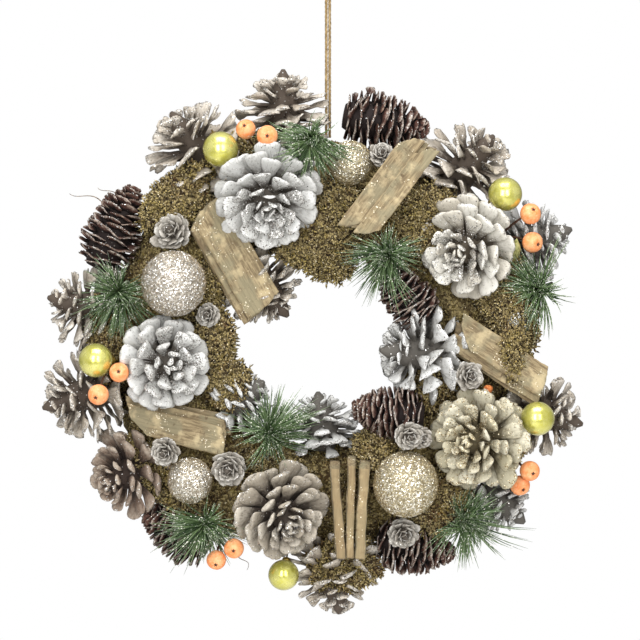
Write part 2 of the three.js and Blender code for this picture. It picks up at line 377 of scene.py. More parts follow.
def twineMaterial():
    material, sheet, principled = newMaterial("juteTwine", Roughness=0.9)
    grain = sheet.effect(grainEffect, Vector=sheet.place(), Stretch=(1.0, 1.0, 0.18), Size=1500.0)
    shade = sheet.mix(sheet.ramp(grain["Lines"], 0.35, 0.65), paint("64502f"), paint("b89f72"))
    shade = sheet.mix(sheet.ramp(grain["Shade"], 0.35, 0.7, 0.0, 0.5), shade, paint("8a6f44"))
    connect(sheet, principled, shade, height=grain["Lines"], bumpSize=0.0003)
    return material


def addTwine():
    t = twineSetup
    rng = np.random.default_rng(11)
    line, length = evenly(twineMiddleLine(), t["step"] * mm)
    radius = t["diameter"] / 2 * mm
    ahead = np.gradient(line, axis=0)
    ahead /= np.linalg.norm(ahead, axis=1)[:, None]
    across = np.cross(ahead, [0.0, 1.0, 0.0])
    across /= np.linalg.norm(across, axis=1)[:, None]
    out = np.cross(ahead, across)
    phase = np.arange(len(line)) * t["step"] / t["twist"] * 2 * math.pi
    parts = []
    for ply in (0, 1, 2):
        lead = phase + ply * 2 * math.pi / 3
        offset = np.cos(lead)[:, None] * across + np.sin(lead)[:, None] * out
        parts.append(strand(line + offset * radius * 0.44, radius * 0.56, 7))
    for _ in range(t["fibres"]):
        i = int(rng.integers(4, len(line) - 10))
        push = rng.normal(size=3)
        push -= ahead[i] * push.dot(ahead[i]) * 0.4
        push /= np.linalg.norm(push)
        steps = np.linspace(0, 1, 5)[:, None]
        reachOut = rng.uniform(0.2, 0.7) * mm
        hair = line[i] + push * (radius * 0.9) + ahead[i] * steps * rng.uniform(1.0, 2.2) * mm
        parts.append(strand(hair + push * steps**2 * reachOut, 0.06 * mm, 3))
    piece = makePiece("twine_loop", parts, [twineMaterial()], ["hanging_twine"])
    path = line[::3].tolist()
    if list(path[-1]) != line[-1].tolist():
        path.append(line[-1].tolist())


addTwine()
print("twine made")


# Cones. Every scale is a small closed paddle: widths and thicknesses are shares of its own, from stem to rim
paddles = {
    "spoon": {
        "at": [0, 0.25, 0.5, 0.68, 0.82, 0.91, 0.97, 1.0],
        "wide": [0.30, 0.42, 0.66, 0.88, 1.0, 0.94, 0.72, 0.34],
        "thick": [0.5, 0.5, 0.6, 0.8, 1.0, 1.05, 0.85, 0.4], "sides": 12,
    },
    "fan": {
        "at": [0, 0.2, 0.42, 0.62, 0.78, 0.9, 0.97, 1.0],
        "wide": [0.20, 0.28, 0.44, 0.68, 0.92, 1.0, 0.86, 0.55],
        "thick": [1.0, 0.8, 0.7, 0.75, 0.9, 1.15, 1.0, 0.5], "sides": 10,
    },
    "leaf": {
        "at": [0, 0.3, 0.6, 0.82, 0.94, 1.0], "wide": [0.45, 0.8, 1.0, 0.92, 0.66, 0.3],
        "thick": [0.9, 0.8, 0.75, 0.75, 0.7, 0.35], "sides": 12,
    },
    "plate": {
        "at": [0, 0.4, 0.7, 0.9, 1.0], "wide": [0.40, 0.78, 1.0, 0.95, 0.6],
        "thick": [0.9, 0.8, 0.8, 1.0, 0.6], "sides": 16,
    },
}


def curve(pairs, t):
    return np.interp(t, [p[0] for p in pairs], [p[1] for p in pairs])


# shape holds the number of scales, then sizes in mm; tilt, size and height are curves from stem to tip
def coneParts(shape, place, turn, depth, seed):
    rng = np.random.default_rng(seed)
    paddle = paddles[shape["paddle"]]
    count = shape["scales"]
    climb = (np.arange(count) + 0.5) / count
    angle = np.arange(count) * goldenAngle + rng.normal(0, 0.07, count)
    tilt = np.radians(curve(shape["tilt"], climb) + rng.normal(0, shape["unruly"], count))
    size = curve(shape["size"], climb) * rng.normal(1, 0.05, count)
    height = (curve(shape["height"], climb) - 0.5) * depth
    core = shape["core"] * curve([(0, 0.6), (0.25, 1), (0.7, 0.7), (1, 0.12)], climb) * mm
    at, wide, thick = (np.array(paddle[k]) for k in ("at", "wide", "thick"))
    sides = paddle["sides"]
    s = np.arange(sides) * 2 * math.pi / sides
    u = np.repeat(at, sides)
    about = np.tile(s, len(at))
    x = np.repeat(wide, sides) * np.cos(about) * 0.5
    torn = rng.normal(0, 1, (count, sides))[:, np.tile(np.arange(sides), len(at))]
    ragged = shape["ragged"] * torn * (u**6)[None]
    keel = 1 + 0.35 * np.maximum(0, -np.sin(about)) * (np.abs(np.cos(about)) < 0.6)
    z = np.repeat(thick, sides) * np.sin(about) * 0.5 * keel
    length = shape["length"] * size * mm
    width = shape["width"] * np.clip(size, 0.45, 1.1) * rng.normal(1, 0.06, count) * mm
    bend = shape["bend"] + rng.normal(0, 0.05, count)
    localX = x[None] * width[:, None]
    localY = (u[None] + ragged) * length[:, None]
    flutes = shape["flute"] * np.cos(x * 2 * math.pi * shape["flutes"]) * (u * (1 - u) * 4)
    dish = shape["dish"] * (x**2)[None] * width[:, None] * np.minimum(1, u * 1.5)
    lift = (u**2)[None] * (bend * length)[:, None] - dish
    curl = rng.normal(0, shape["twist"], count)[:, None] * localX * u[None] ** 2
    localZ = (z + flutes)[None] * (shape["thick"] * np.clip(size, 0.5, 1.1) * mm)[:, None] + lift + curl
    out = np.stack([np.cos(angle), np.sin(angle), np.zeros(count)], 1)
    up = np.array([0.0, 0.0, 1.0])
    along = out * np.sin(tilt)[:, None] + up * np.cos(tilt)[:, None]
    normal = up * np.sin(tilt)[:, None] - out * np.cos(tilt)[:, None]
    across = np.cross(along, normal)
    foot = out * core[:, None] + up * height[:, None]
    points = foot[:, None] + localX[..., None] * across[:, None] + localY[..., None] * along[:, None]
    points = (points + localZ[..., None] * normal[:, None]).reshape(-1, 3)
    each = len(u)
    faces = manyFaces([f[::-1] for f in loftFaces(len(at), sides)], count, each)
    values = {
        "reach": np.tile(u, count), "climb": np.repeat(climb, each),
        "tone": np.repeat(rng.random(count), each), "across": (localX + rng.random(count)[:, None]).ravel(),
        "rim": np.tile(np.maximum(u, np.abs(x) * 2 * np.minimum(1, u * 1.3)), count),
    }
    scales = {"points": pressFlat(points @ turn.T + np.array(place)), "faces": faces, "values": values}
    tall = np.linspace(-0.5, 0.46, 9) * depth
    fat = shape["core"] * 1.2 * np.array([0.7, 1, 1.1, 1.05, 0.95, 0.85, 0.65, 0.45, 0.12]) * mm
    # With reach 0 the stem is painted all in the deep colour, a painted shade
    plain = {"reach": 0.0, "climb": 0.3, "tone": 0.5, "across": 0.0, "rim": 0.0}
    stem = turnedSolid(list(zip(fat, tall)), 14, place, turn, plain)
    stem["points"] = pressFlat(stem["points"])
    return [scales, stem]


# look holds: deep, face, rim and frost colours, how far frost comes, and the glitter's colour and amount.
# deep is a painted shade colour: the scales darken to it towards their stems, and the stem is painted all in
# it
def coneMaterial(name, look):
    material, sheet, principled = newMaterial(name, Roughness=0.75)
    reach, climb, tone, rim = (sheet.value(k) for k in ("reach", "climb", "tone", "rim"))
    lengthways = sheet.maths("MULTIPLY", reach, 0.02)
    across = sheet.value("across")
    fibre = sheet.add("ShaderNodeCombineXYZ", {"X": across, "Y": lengthways, "Z": tone}).outputs[0]
    grain = sheet.effect(grainEffect, Vector=fibre, Stretch=(1.0, 0.25, 1.0), Size=1100.0)
    # Painted shade: each scale darkens to the deep colour towards its stem, where the scales overlap
    outward = sheet.ramp(reach, look.get("paintedShadeEnd", 0.15), 0.75)
    body = sheet.mix(outward, paint(look["deep"]), paint(look["face"]))
    body = sheet.mix(sheet.ramp(grain["Lines"], 0.55, 0.38, 0.0, look["streak"]), body, paint(look["deep"]))
    start, full = look["frosting"]
    frost = sheet.effect(frostEffect, Reach=rim, Start=start, Full=full, Patch=look["patch"], Size=300.0)
    white = sheet.mix(tone, paint(look["frost"]), paint(look["frostDim"]))
    white = sheet.mix(sheet.ramp(grain["Lines"], 0.5, 0.34, 0.0, look["streak"]), white, paint(look["face"]))
    shade = sheet.mix(frost["Mask"], body, white)
    toTip = sheet.ramp(climb, *look["glitterClimb"])
    toRim = sheet.ramp(rim, *look["glitterRim"])
    where = sheet.maths("MAXIMUM", toTip, toRim)
    where = sheet.maths("MULTIPLY", where, sheet.ramp(sheet.cloudy(130.0, 3.0), 0.34, 0.56))
    where = sheet.maths("MAXIMUM", where, 0.04)
    flakes = sheet.effect(glitterEffect, Flakes=look["flakes"], Amount=look["glitterAmount"], Where=where)
    sparkle = sheet.mix(flakes["Tone"], paint(look["glitterDark"]), paint(look["glitterLight"]))
    shade = sheet.mix(flakes["Mask"], shade, sparkle)
    rough = sheet.ramp(flakes["Mask"], 0.0, 1.0, 0.8, 0.28)
    metal = sheet.maths("MULTIPLY", flakes["Mask"], 0.5)
    height = sheet.maths("MULTIPLY", frost["Height"], 0.5)
    height = sheet.maths("ADD", height, sheet.maths("MULTIPLY", flakes["Height"], 1.2))
    height = sheet.maths("ADD", height, sheet.maths("MULTIPLY", grain["Lines"], 0.7))
    connect(sheet, principled, shade, rough, metal, height, 0.0006, flakes)
    return material


silver = {"glitterDark": "6b635a", "glitterLight": "fffefa", "flakes": 1350.0}
gold = {"glitterDark": "80683a", "glitterLight": "fff3d0", "flakes": 1350.0}
coneLooks = {
    "white": dict(
        silver, deep="4a443d", face="8f8b86", frost="dededb", frostDim="bdbcb8",
        frosting=(0.28, 0.72), patch=0.16,
        streak=0.5, paintedShadeEnd=0.3, glitterClimb=(0.42, 0.7), glitterRim=(0.96, 1.3), glitterAmount=1.0),
    "warm": dict(
        silver, deep="4b4236", face="96907f", frost="dddad1", frostDim="bfb8aa",
        frosting=(0.28, 0.72), patch=0.16,
        streak=0.5, paintedShadeEnd=0.3, glitterClimb=(0.42, 0.72), glitterRim=(0.9, 1.15), glitterAmount=1.0),
    "cream": dict(
        gold, deep="4a412c", face="8f8569", frost="d2cdb9", frostDim="aea68b",
        frosting=(0.3, 0.85), patch=0.22,
        streak=0.55, paintedShadeEnd=0.3, glitterClimb=(0.3, 0.8), glitterRim=(0.78, 1.05), glitterAmount=0.85),
    "taupe": dict(
        silver, deep="3a3028", face="8a8071", frost="c0b8aa", frostDim="9f9585",
        frosting=(0.3, 0.95), patch=0.25,
        streak=0.6, paintedShadeEnd=0.35, glitterClimb=(0.6, 0.95), glitterRim=(0.8, 1.1), glitterAmount=0.75),
    "brown": dict(
        silver, deep="35271f", face="86705f", frost="b9ad9d", frostDim="8f7f71",
        frosting=(0.5, 1.1), patch=0.3,
        streak=0.65, paintedShadeEnd=0.3, glitterClimb=(0.7, 1.1), glitterRim=(0.85, 1.15), glitterAmount=0.65),
    "frosted": dict(
        silver, deep="4b4036", face="9a8e7e", frost="d8d1c6", frostDim="b0a595",
        frosting=(0.34, 1.05), patch=0.3,
        streak=0.75, paintedShadeEnd=0.35, glitterClimb=(0.6, 1.0), glitterRim=(0.8, 1.02), glitterAmount=0.85),
    "pale": dict(
        silver, deep="55514b", face="a4a19a", frost="dddddb", frostDim="c2c2bf",
        frosting=(0.28, 0.9), patch=0.22,
        streak=0.55, paintedShadeEnd=0.3, glitterClimb=(0.75, 1.05), glitterRim=(0.8, 1.05), glitterAmount=0.8),
    "dark": dict(
        silver, deep="1d0f0b", face="55352a", frost="c4b8ac", frostDim="86705f",
        frosting=(0.82, 1.08), patch=0.24,
        streak=0.6, paintedShadeEnd=0.45, glitterClimb=(0.8, 1.5), glitterRim=(0.84, 1.02), glitterAmount=0.6),
    "larch": dict(
        silver, deep="4a433b", face="8d867b", frost="cdc9c1", frostDim="aaa398",
        frosting=(0.35, 1.0), patch=0.22,
        streak=0.5, glitterClimb=(0.6, 1.0), glitterRim=(0.85, 1.1), glitterAmount=0.6),
}
coneMaterials = {key: coneMaterial(key + "Cone", look) for key, look in coneLooks.items()}

# Open cones, seen from the tip
openShape = {
    "paddle": "spoon", "scales": 54, "length": 25.0, "width": 15.5, "thick": 3.4, "core": 8.0,
    "bend": 0.16, "dish": 0.35, "ragged": 0.02, "flute": 0.10, "flutes": 2.0, "twist": 0.10, "unruly": 4.0,
    "tilt": [(0, 98), (0.35, 84), (0.65, 62), (0.88, 34), (1, 8)],
    "size": [(0, 0.92), (0.3, 1.0), (0.6, 0.78), (0.85, 0.5), (1, 0.34)],
    "height": [(0, 0.12), (0.4, 0.42), (0.75, 0.66), (1, 0.80)],
}
openCones = {
    "open_cone_a": {"look": "white", "turn": 172, "rise": 60, "roll": 20, "length": 27.0},
    "open_cone_b": {
        "look": "warm", "turn": 238, "rise": 62, "roll": 70,
        "length": 24.5, "width": 14.5, "unruly": 6.0,
    },
    "open_cone_c": {
        "look": "cream", "turn": 265, "rise": 66, "roll": 40,
        "length": 25.0, "width": 12.5, "scales": 62, "unruly": 9.0,
    },
    "open_cone_d": {
        "look": "taupe", "turn": 140, "rise": 55, "roll": 10,
        "length": 23.5, "width": 14.0, "scales": 60, "unruly": 6.0,
    },
    "open_cone_e": {
        "look": "white", "turn": 95, "rise": 72, "roll": 120,
        "length": 22.0, "width": 14.0, "thick": 4.8, "scales": 44,
        "size": [(0, 0.95), (0.3, 1.0), (0.6, 0.92), (0.85, 0.66), (1, 0.42)],
    },
    "open_cone_f": {
        "look": "brown", "turn": 245, "rise": 38, "roll": 0,
        "length": 21.0, "width": 12.5, "scales": 54, "unruly": 7.0,
    },
}


def addOpenCones():
    for seed, (node, own) in enumerate(openCones.items()):
        shape = {**openShape, **own}
        turn = towards(heading(own["turn"], own["rise"]), own["roll"])
        parts = coneParts(shape, nodeMiddle(node), turn, 38 * mm, 100 + seed)
        makePiece(node + "_scales", parts, [coneMaterials[own["look"]]], [node])


addOpenCones()
print("open cones made")

# Frosted cones, seen from the side. The last one stands for no solid of its own
frostedShape = {
    "paddle": "fan", "scales": 62, "length": 21.0, "width": 12.5, "thick": 2.2, "core": 8.2,
    "bend": -0.06, "dish": 0.45,
    "ragged": 0.035, "flute": 0.35, "flutes": 3.0, "twist": 0.4,
    "unruly": 10.0, "tilt": [(0, 112), (0.3, 90), (0.6, 70), (0.85, 46), (1, 14)],
    "size": [(0, 0.8), (0.3, 1.0), (0.6, 0.86), (0.85, 0.62), (1, 0.42)],
    "height": [(0, 0.1), (0.5, 0.42), (1, 0.70)],
}
frostedCones = {
    "frosted_cone_a": {"turn": 326, "rise": 25, "depth": 54, "length": 27.0},
    "frosted_cone_b": {"turn": 0, "rise": 15, "depth": 46, "length": 23.0},
    "frosted_cone_c": {"turn": 41, "rise": 25, "depth": 50, "length": 25.0},
    "frosted_cone_d": {"turn": 72, "rise": 15, "depth": 44, "length": 19.0, "look": "pale"},
    "frosted_cone_e": {"turn": 104, "rise": 15, "depth": 46, "length": 21.0},
    "frosted_cone_f": {"turn": 130, "rise": 10, "depth": 38, "length": 16.0, "look": "pale"},
    "frosted_cone_g": {"turn": 174, "rise": 22, "depth": 46, "length": 22.0},
    "frosted_cone_h": {"turn": 252, "rise": 20, "depth": 50, "length": 23.0},
    "frosted_cone_i": {"turn": 285, "rise": 20, "depth": 46, "length": 21.0},
    "frosted_cone_j": {"turn": 275, "rise": 30, "depth": 50, "length": 22.0, "look": "pale"},
    "frosted_cone_k": {"turn": 140, "rise": 10, "depth": 42, "length": 19.0},
    "frosted_cone_l": {"turn": 354, "rise": 10, "depth": 38, "length": 18.0, "look": "pale"},
    "frosted_cone_m": {
        "turn": 50, "rise": 20, "depth": 34, "length": 15.0, "look": "pale", "at": (232, 52, 34),
    },
}


def addFrostedCones():
    for seed, (node, own) in enumerate(frostedCones.items()):
        shape = {**frostedShape, **own}
        shape["width"] = frostedShape["width"] * own["length"] / frostedShape["length"]
        turn = towards(heading(own["turn"], own["rise"]), seed * 37)
        place = spot(*own["at"]) if "at" in own else nodeMiddle(node)
        parts = coneParts(shape, place, turn, own["depth"] * mm, 200 + seed)
        material = coneMaterials[own.get("look", "frosted")]
        makePiece(node + "_scales", parts, [material], [] if "at" in own else [node])


addFrostedCones()
print("frosted cones made")

# Dark cones with tight thin scales
darkShape = {
    "paddle": "plate", "scales": 86, "length": 10.0, "width": 17.0, "thick": 1.2, "core": 9.2,
    "bend": 0.08, "dish": 0.25,
    "ragged": 0.05, "flute": 0.5, "flutes": 2.0, "twist": 0.2,
    "unruly": 4.0, "tilt": [(0, 100), (0.3, 84), (0.7, 70), (1, 25)],
    "size": [(0, 0.8), (0.25, 1.0), (0.7, 0.9), (1, 0.5)],
    "height": [(0, 0.05), (0.5, 0.48), (1, 0.92)],
}
darkCones = {
    "dark_cone_a": {"turn": 100, "rise": 5, "depth": 54},
    "dark_cone_b": {"turn": 25, "rise": 5, "depth": 56},
    "dark_cone_c": {"turn": 275, "rise": -5, "depth": 44, "length": 9.5, "core": 7.5},
    "dark_cone_d": {"turn": 320, "rise": 8, "depth": 42, "length": 9.0, "core": 7.0},
    "dark_cone_e": {"turn": 100, "rise": 5, "depth": 48, "length": 10.0, "core": 8.0},
    "dark_cone_f": {"turn": 300, "rise": 5, "depth": 46, "length": 10.0, "core": 8.0},
}


def addDarkCones():
    for seed, (node, own) in enumerate(darkCones.items()):
        shape = {**darkShape, **own}
        turn = towards(heading(own["turn"], own["rise"]), seed * 50)
        parts = coneParts(shape, nodeMiddle(node), turn, own["depth"] * mm, 300 + seed)
        makePiece(node + "_scales", parts, [coneMaterials["dark"]], [node])


addDarkCones()
print("dark cones made")

# Larch cones: small, with rounded thin scales. The last three stand for no solid of their own
larchShape = {
    "paddle": "leaf", "scales": 42, "width": 7.0, "thick": 0.9, "core": 3.4, "bend": 0.1, "dish": 0.5,
    "ragged": 0.03, "flute": 0.1, "flutes": 2.0, "twist": 0.2,
    "unruly": 5.0, "tilt": [(0, 80), (0.4, 60), (0.8, 32), (1, 8)],
    "size": [(0, 0.85), (0.35, 1.0), (0.75, 0.75), (1, 0.45)],
    "height": [(0, 0.08), (0.5, 0.42), (1, 0.66)],
}
larchCones = {
    "larch_cone_a": {"radius": 12.0, "turn": 309, "rise": 70},
    "larch_cone_b": {"radius": 9.0, "turn": 232, "rise": 70},
    "larch_cone_c": {"radius": 11.0, "turn": 214, "rise": 75},
    "larch_cone_d": {"radius": 9.0, "turn": 101, "rise": 75},
    "larch_cone_e": {"radius": 9.0, "turn": 133, "rise": 70},
    "larch_cone_f": {"radius": 10.0, "turn": 154, "rise": 65},
    "larch_cone_g": {"radius": 8.0, "turn": 20, "rise": 65, "at": (20, 125, 56)},
    "larch_cone_h": {"radius": 7.5, "turn": 285, "rise": 75, "at": (286, 67, 46)},
    "larch_cone_i": {"radius": 7.0, "turn": 120, "rise": 70, "at": (130, 88, 62)},
}


def addLarchCones():
    for seed, (node, own) in enumerate(larchCones.items()):
        scale = own["radius"] / 11.0
        shape = {**larchShape, "length": 9.0 * scale, "width": 7.0 * scale, "core": 3.4 * scale}
        turn = towards(heading(own["turn"], own["rise"]), seed * 61)
        place = spot(*own["at"]) if "at" in own else nodeMiddle(node)
        parts = coneParts(shape, place, turn, 19 * scale * mm, 400 + seed)
        stoodFor = [] if "at" in own else [node]
        makePiece(node + "_scales", parts, [coneMaterials["larch"]], stoodFor)


addLarchCones()
print("larch cones made")


# Needle tufts
tuftSetup = {
    "bundles": 38, "each": 10, "length": (20.0, 36.0), "thick": 0.42,
    "spread": 84.0, "fray": 0.17, "bend": 9.0, "stalk": 7.0, "curl": 1.2, "pressed": 0.42,
    "uneven": (0.75, 1.08), "taper": (0.8, 1.0, 1.0, 0.8, 0.15),
}
needleTufts = {
    "needle_tuft_a": {"turn": 205, "rise": 25, "back": -12, "length": (21.0, 34.0)},
    "needle_tuft_b": {"turn": 250, "rise": 40, "back": -1, "length": (24.0, 38.0)},
    "needle_tuft_c": {"turn": 220, "rise": 55, "back": 6},
    "needle_tuft_d": {"turn": 135, "rise": 45, "back": 8},
    "needle_tuft_e": {"turn": 200, "rise": 62, "back": 8},
    "needle_tuft_f": {"turn": 211, "rise": 45, "back": 8},
    "needle_tuft_g": {"turn": 26, "rise": 60, "back": 8},
}


def needleMaterial():
    material, sheet, principled = newMaterial("frostedNeedles", Roughness=0.6)
    along, tone = sheet.value("along"), sheet.value("tone")
    green = sheet.mix(tone, paint("2c4423"), paint("748c5c"))
    green = sheet.mix(sheet.ramp(along, 0.0, 0.3), paint("33301c"), green)
    frost = sheet.effect(frostEffect, Reach=along, Start=0.7, Full=1.6, Patch=0.35, Size=500.0)
    shade = sheet.mix(frost["Mask"], green, paint("cfd6c6"))
    flakes = sheet.effect(glitterEffect, Flakes=1100.0, Amount=0.12, Where=sheet.ramp(along, 0.1, 0.6))
    shade = sheet.mix(flakes["Mask"], shade, paint("f7f6e8"))
    connect(sheet, principled, shade, height=frost["Height"], bumpSize=0.0002)
    return material


def addTufts():
    material = needleMaterial()
    t = tuftSetup
    for seed, (node, own) in enumerate(needleTufts.items()):
        rng = np.random.default_rng(500 + seed)
        aim = heading(own["turn"], own["rise"])
        turn = towards(aim)
        foot = np.array(nodeMiddle(node) - aim * own["back"] * mm)
        parts = []
        for k in range(t["bundles"]):
            a = rng.uniform(0, 2 * math.pi)
            away = math.radians(t["spread"]) * math.sqrt((k + 0.5) / t["bundles"])
            sideways = math.sin(away)
            main = turn @ np.array([sideways * math.cos(a), sideways * math.sin(a), math.cos(away)])
            start = foot + np.array(aim) * rng.uniform(0, t["stalk"]) * mm
            sweep = rng.normal(0, t["bend"] * mm / 2, 3)
            reachOut = rng.uniform(*own.get("length", t["length"])) * mm
            for _ in range(t["each"]):
                way = main + rng.normal(0, t["fray"], 3)
                way /= np.linalg.norm(way)
                steps = np.linspace(0, 1, 5)[:, None]
                bend = sweep + rng.normal(0, t["curl"] * mm, 3)
                pressed = 1 - t["pressed"] * max(0.0, -way[1])
                line = start + way * reachOut * pressed * rng.uniform(*t["uneven"]) * steps + bend * steps**2
                thick = t["thick"] * mm * np.array(t["taper"])
                parts.append(strand(pressFlat(line), thick, 3, {"tone": rng.random()}))
        stalk = [foot - np.array(aim) * 8 * mm, foot, foot + np.array(aim) * 3 * mm]
        parts.append(strand(stalk, 1.3 * mm, 7, {"tone": 0.0}))
        makePiece(node + "_needles", parts, [material], [node])


addTufts()
print("needle tufts made")


# Balls covered in glitter: a sphere whose skin is broken into flake-sized facets
# rim is a painted darker gold that each ball takes towards its edges
ballLooks = {
    "glitter_ball_a": {"dark": "9f9688", "mid": "dcd5ca", "light": "fffefb", "rim": "a98e5c"},
    "glitter_ball_b": {"dark": "a09373", "mid": "dcd2b6", "light": "fffbee", "rim": "a3884e"},
    "glitter_ball_c": {"dark": "9b917f", "mid": "dad2c0", "light": "fffcf4", "rim": "9f8652"},
    "glitter_ball_d": {"dark": "a09474", "mid": "dcd2b8", "light": "fffbee", "rim": "a1894f"},
    "glitter_ball_e": {"dark": "a09d90", "mid": "d8d6cb", "light": "ffffff", "rim": "98875c"},
}


def glitterMaterial(name, look):
    material, sheet, principled = newMaterial(name, Roughness=0.4)
    flakes = sheet.effect(glitterEffect, Flakes=1500.0, Amount=1.0, Where=1.0, Lean=1.5)
    shade = sheet.mix(flakes["Tone"], paint(look["dark"]), paint(look["mid"]))
    shade = sheet.mix(sheet.maths("GREATER_THAN", flakes["Tone"], 0.8), shade, paint(look["light"]))
    # Painted reflection: the middle stays silver-white and the edge takes the darker rim gold by viewing
    # angle
    rim = sheet.add("ShaderNodeLayerWeight", {"Blend": 0.4}).outputs["Facing"]
    shade = sheet.mix(sheet.ramp(rim, 0.25, 0.8, 0.0, 0.75), shade, paint(look["rim"]))
    rough = sheet.ramp(flakes["Tone"], 0.0, 1.0, 0.45, 0.25)
    metal = sheet.ramp(flakes["Tone"], 0.0, 1.0, 0.55, 0.9)
    connect(sheet, principled, shade, rough, metal, flakes["Height"], 0.0004, flakes)
    return material


def addGlitterBalls():
    for seed, (node, look) in enumerate(ballLooks.items()):
        low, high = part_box(node)
        radius = (high.x - low.x) / 2
        rng = np.random.default_rng(600 + seed)
        rows, sides = (56, 84) if radius > 0.016 else (40, 60)
        tall = np.linspace(0.02, math.pi - 0.02, rows)
        profile = [(radius * math.sin(a), radius * math.cos(a)) for a in tall[::-1]]
        part = turnedSolid(profile, sides, (0, 0, 0))
        points = part["points"]
        points *= 1 + rng.normal(0, 0.012, len(points))[:, None]
        points += rng.normal(0, radius * 0.006, points.shape)
        part["points"] = points + np.array(nodeMiddle(node))
        material = glitterMaterial(node + "Glitter", look)
        makePiece(node + "_flakes", [part], [material], [node], smooth=False)


addGlitterBalls()
print("glitter balls made")


# Pearl baubles with a crimped cap at the back, where the wire goes in
pearlBaubles = {
    "pearl_bauble_a": {"turn": 335, "rise": -35},
    "pearl_bauble_b": {"turn": 235, "rise": -30},
    "pearl_bauble_c": {"turn": 90, "rise": -30},
    "pearl_bauble_d": {"turn": 290, "rise": -30},
    "pearl_bauble_e": {"turn": 10, "rise": -25},
}


def pearlMaterial():
    finish = {"Roughness": 0.2, "Metallic": 0.6, "Coat_Weight": 0.8, "Coat_Roughness": 0.05}
    material, sheet, principled = newMaterial("limePearl", **finish)
    cloudy = sheet.cloudy(180.0, 3.0)
    shade = sheet.mix(sheet.ramp(cloudy, 0.3, 0.7), paint("c4bf4b"), paint("dcd77c"))
    speck = sheet.effect(glitterEffect, Flakes=2600.0, Amount=0.4, Where=1.0)
    shade = sheet.mix(sheet.maths("MULTIPLY", speck["Mask"], 0.25), shade, paint("e9ecae"))
    rough = sheet.ramp(cloudy, 0.3, 0.7, 0.18, 0.3)
    connect(sheet, principled, shade, rough, height=sheet.cloudy(600.0, 2.0), bumpSize=0.00004)
    return material


def capMaterial():
    material, sheet, principled = newMaterial("goldCap", Metallic=0.9, Roughness=0.35)
    cloudy = sheet.cloudy(900.0, 3.0)
    shade = sheet.mix(cloudy, paint("8a6f2c"), paint("c9ad5c"))
    connect(sheet, principled, shade, sheet.ramp(cloudy, 0.3, 0.7, 0.25, 0.5), height=cloudy, bumpSize=0.0001)
    return material


def addPearls():
    pearl, cap = pearlMaterial(), capMaterial()
    for node, own in pearlBaubles.items():
        low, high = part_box(node)
        radius = (high.x - low.x) / 2 * 1.02
        turn = towards(heading(own["turn"], own["rise"]))
        place = nodeMiddle(node)
        around = np.linspace(math.pi - 0.01, 0.30, 40)
        profile = [(radius * math.sin(a), radius * math.cos(a)) for a in around]
        profile += [(radius * 0.24, radius * 0.99), (radius * 0.18, radius * 0.97)]
        ball = turnedSolid(profile, 64, place, turn)
        capProfile = [(0.30, 0.93), (0.33, 0.97), (0.31, 1.0), (0.27, 1.03)]
        capProfile += [(0.26, 1.14), (0.22, 1.19), (0.06, 1.20), (0.05, 1.5)]
        crimped = turnedSolid([(r * radius, h * radius) for r, h in capProfile], 32, place, turn)
        crimped["material"] = 1
        makePiece(node + "_bead", [ball, crimped], [pearl, cap], [node])


addPearls()
print("pearl baubles made")

# Berries in pairs on dark wires: clock, reach and lift of each, and where the wires leave the ring
berrySize = {"radius": 6.2, "wire": 0.75, "dimple": 0.35}
berrySprigs = {
    "berry_sprig_a": {"berries": [(343, 139, 52), (348, 131, 66)], "foot": (344, 128, 34)},
    "berry_sprig_b": {"berries": [(59, 157, 52), (65, 150, 50)], "foot": (60, 134, 36)},
    "berry_sprig_c": {"berries": [(262, 119, 66), (257, 134, 66)], "foot": (264, 124, 46)},
    "berry_sprig_d": {"berries": [(120, 155, 50), (124, 155, 44)], "foot": (119, 138, 34)},
    "berry_sprig_e": {"berries": [(201, 134, 52), (204, 145, 48)], "foot": (205, 126, 34)},
}


def berryMaterial():
    material, sheet, principled = newMaterial("dustyBerry", Roughness=0.62)
    skin = sheet.mix(sheet.ramp(sheet.cloudy(260.0, 4.0), 0.3, 0.7), paint("ee8a4a"), paint("f9b27c"))
    dust = sheet.effect(frostEffect, Reach=0.3, Start=0.35, Full=0.8, Patch=0.5, Size=900.0)
    skin = sheet.mix(sheet.maths("MULTIPLY", dust["Mask"], 0.5), skin, paint("fbd6b4"))
    eye = sheet.ramp(sheet.value("along"), 0.93, 0.99, 0.0, 0.8)
    skin = sheet.mix(eye, skin, paint("7c3415"))
    connect(sheet, principled, skin, height=sheet.cloudy(1400.0, 3.0), bumpSize=0.0002)
    return material


def wireMaterial():
    material, sheet, principled = newMaterial("brownWire", Roughness=0.7)
    shade = sheet.mix(sheet.cloudy(900.0, 3.0), paint("2b1a12"), paint("5d3d2a"))
    connect(sheet, principled, shade, height=sheet.cloudy(1500.0, 2.0), bumpSize=0.0002)
    return material


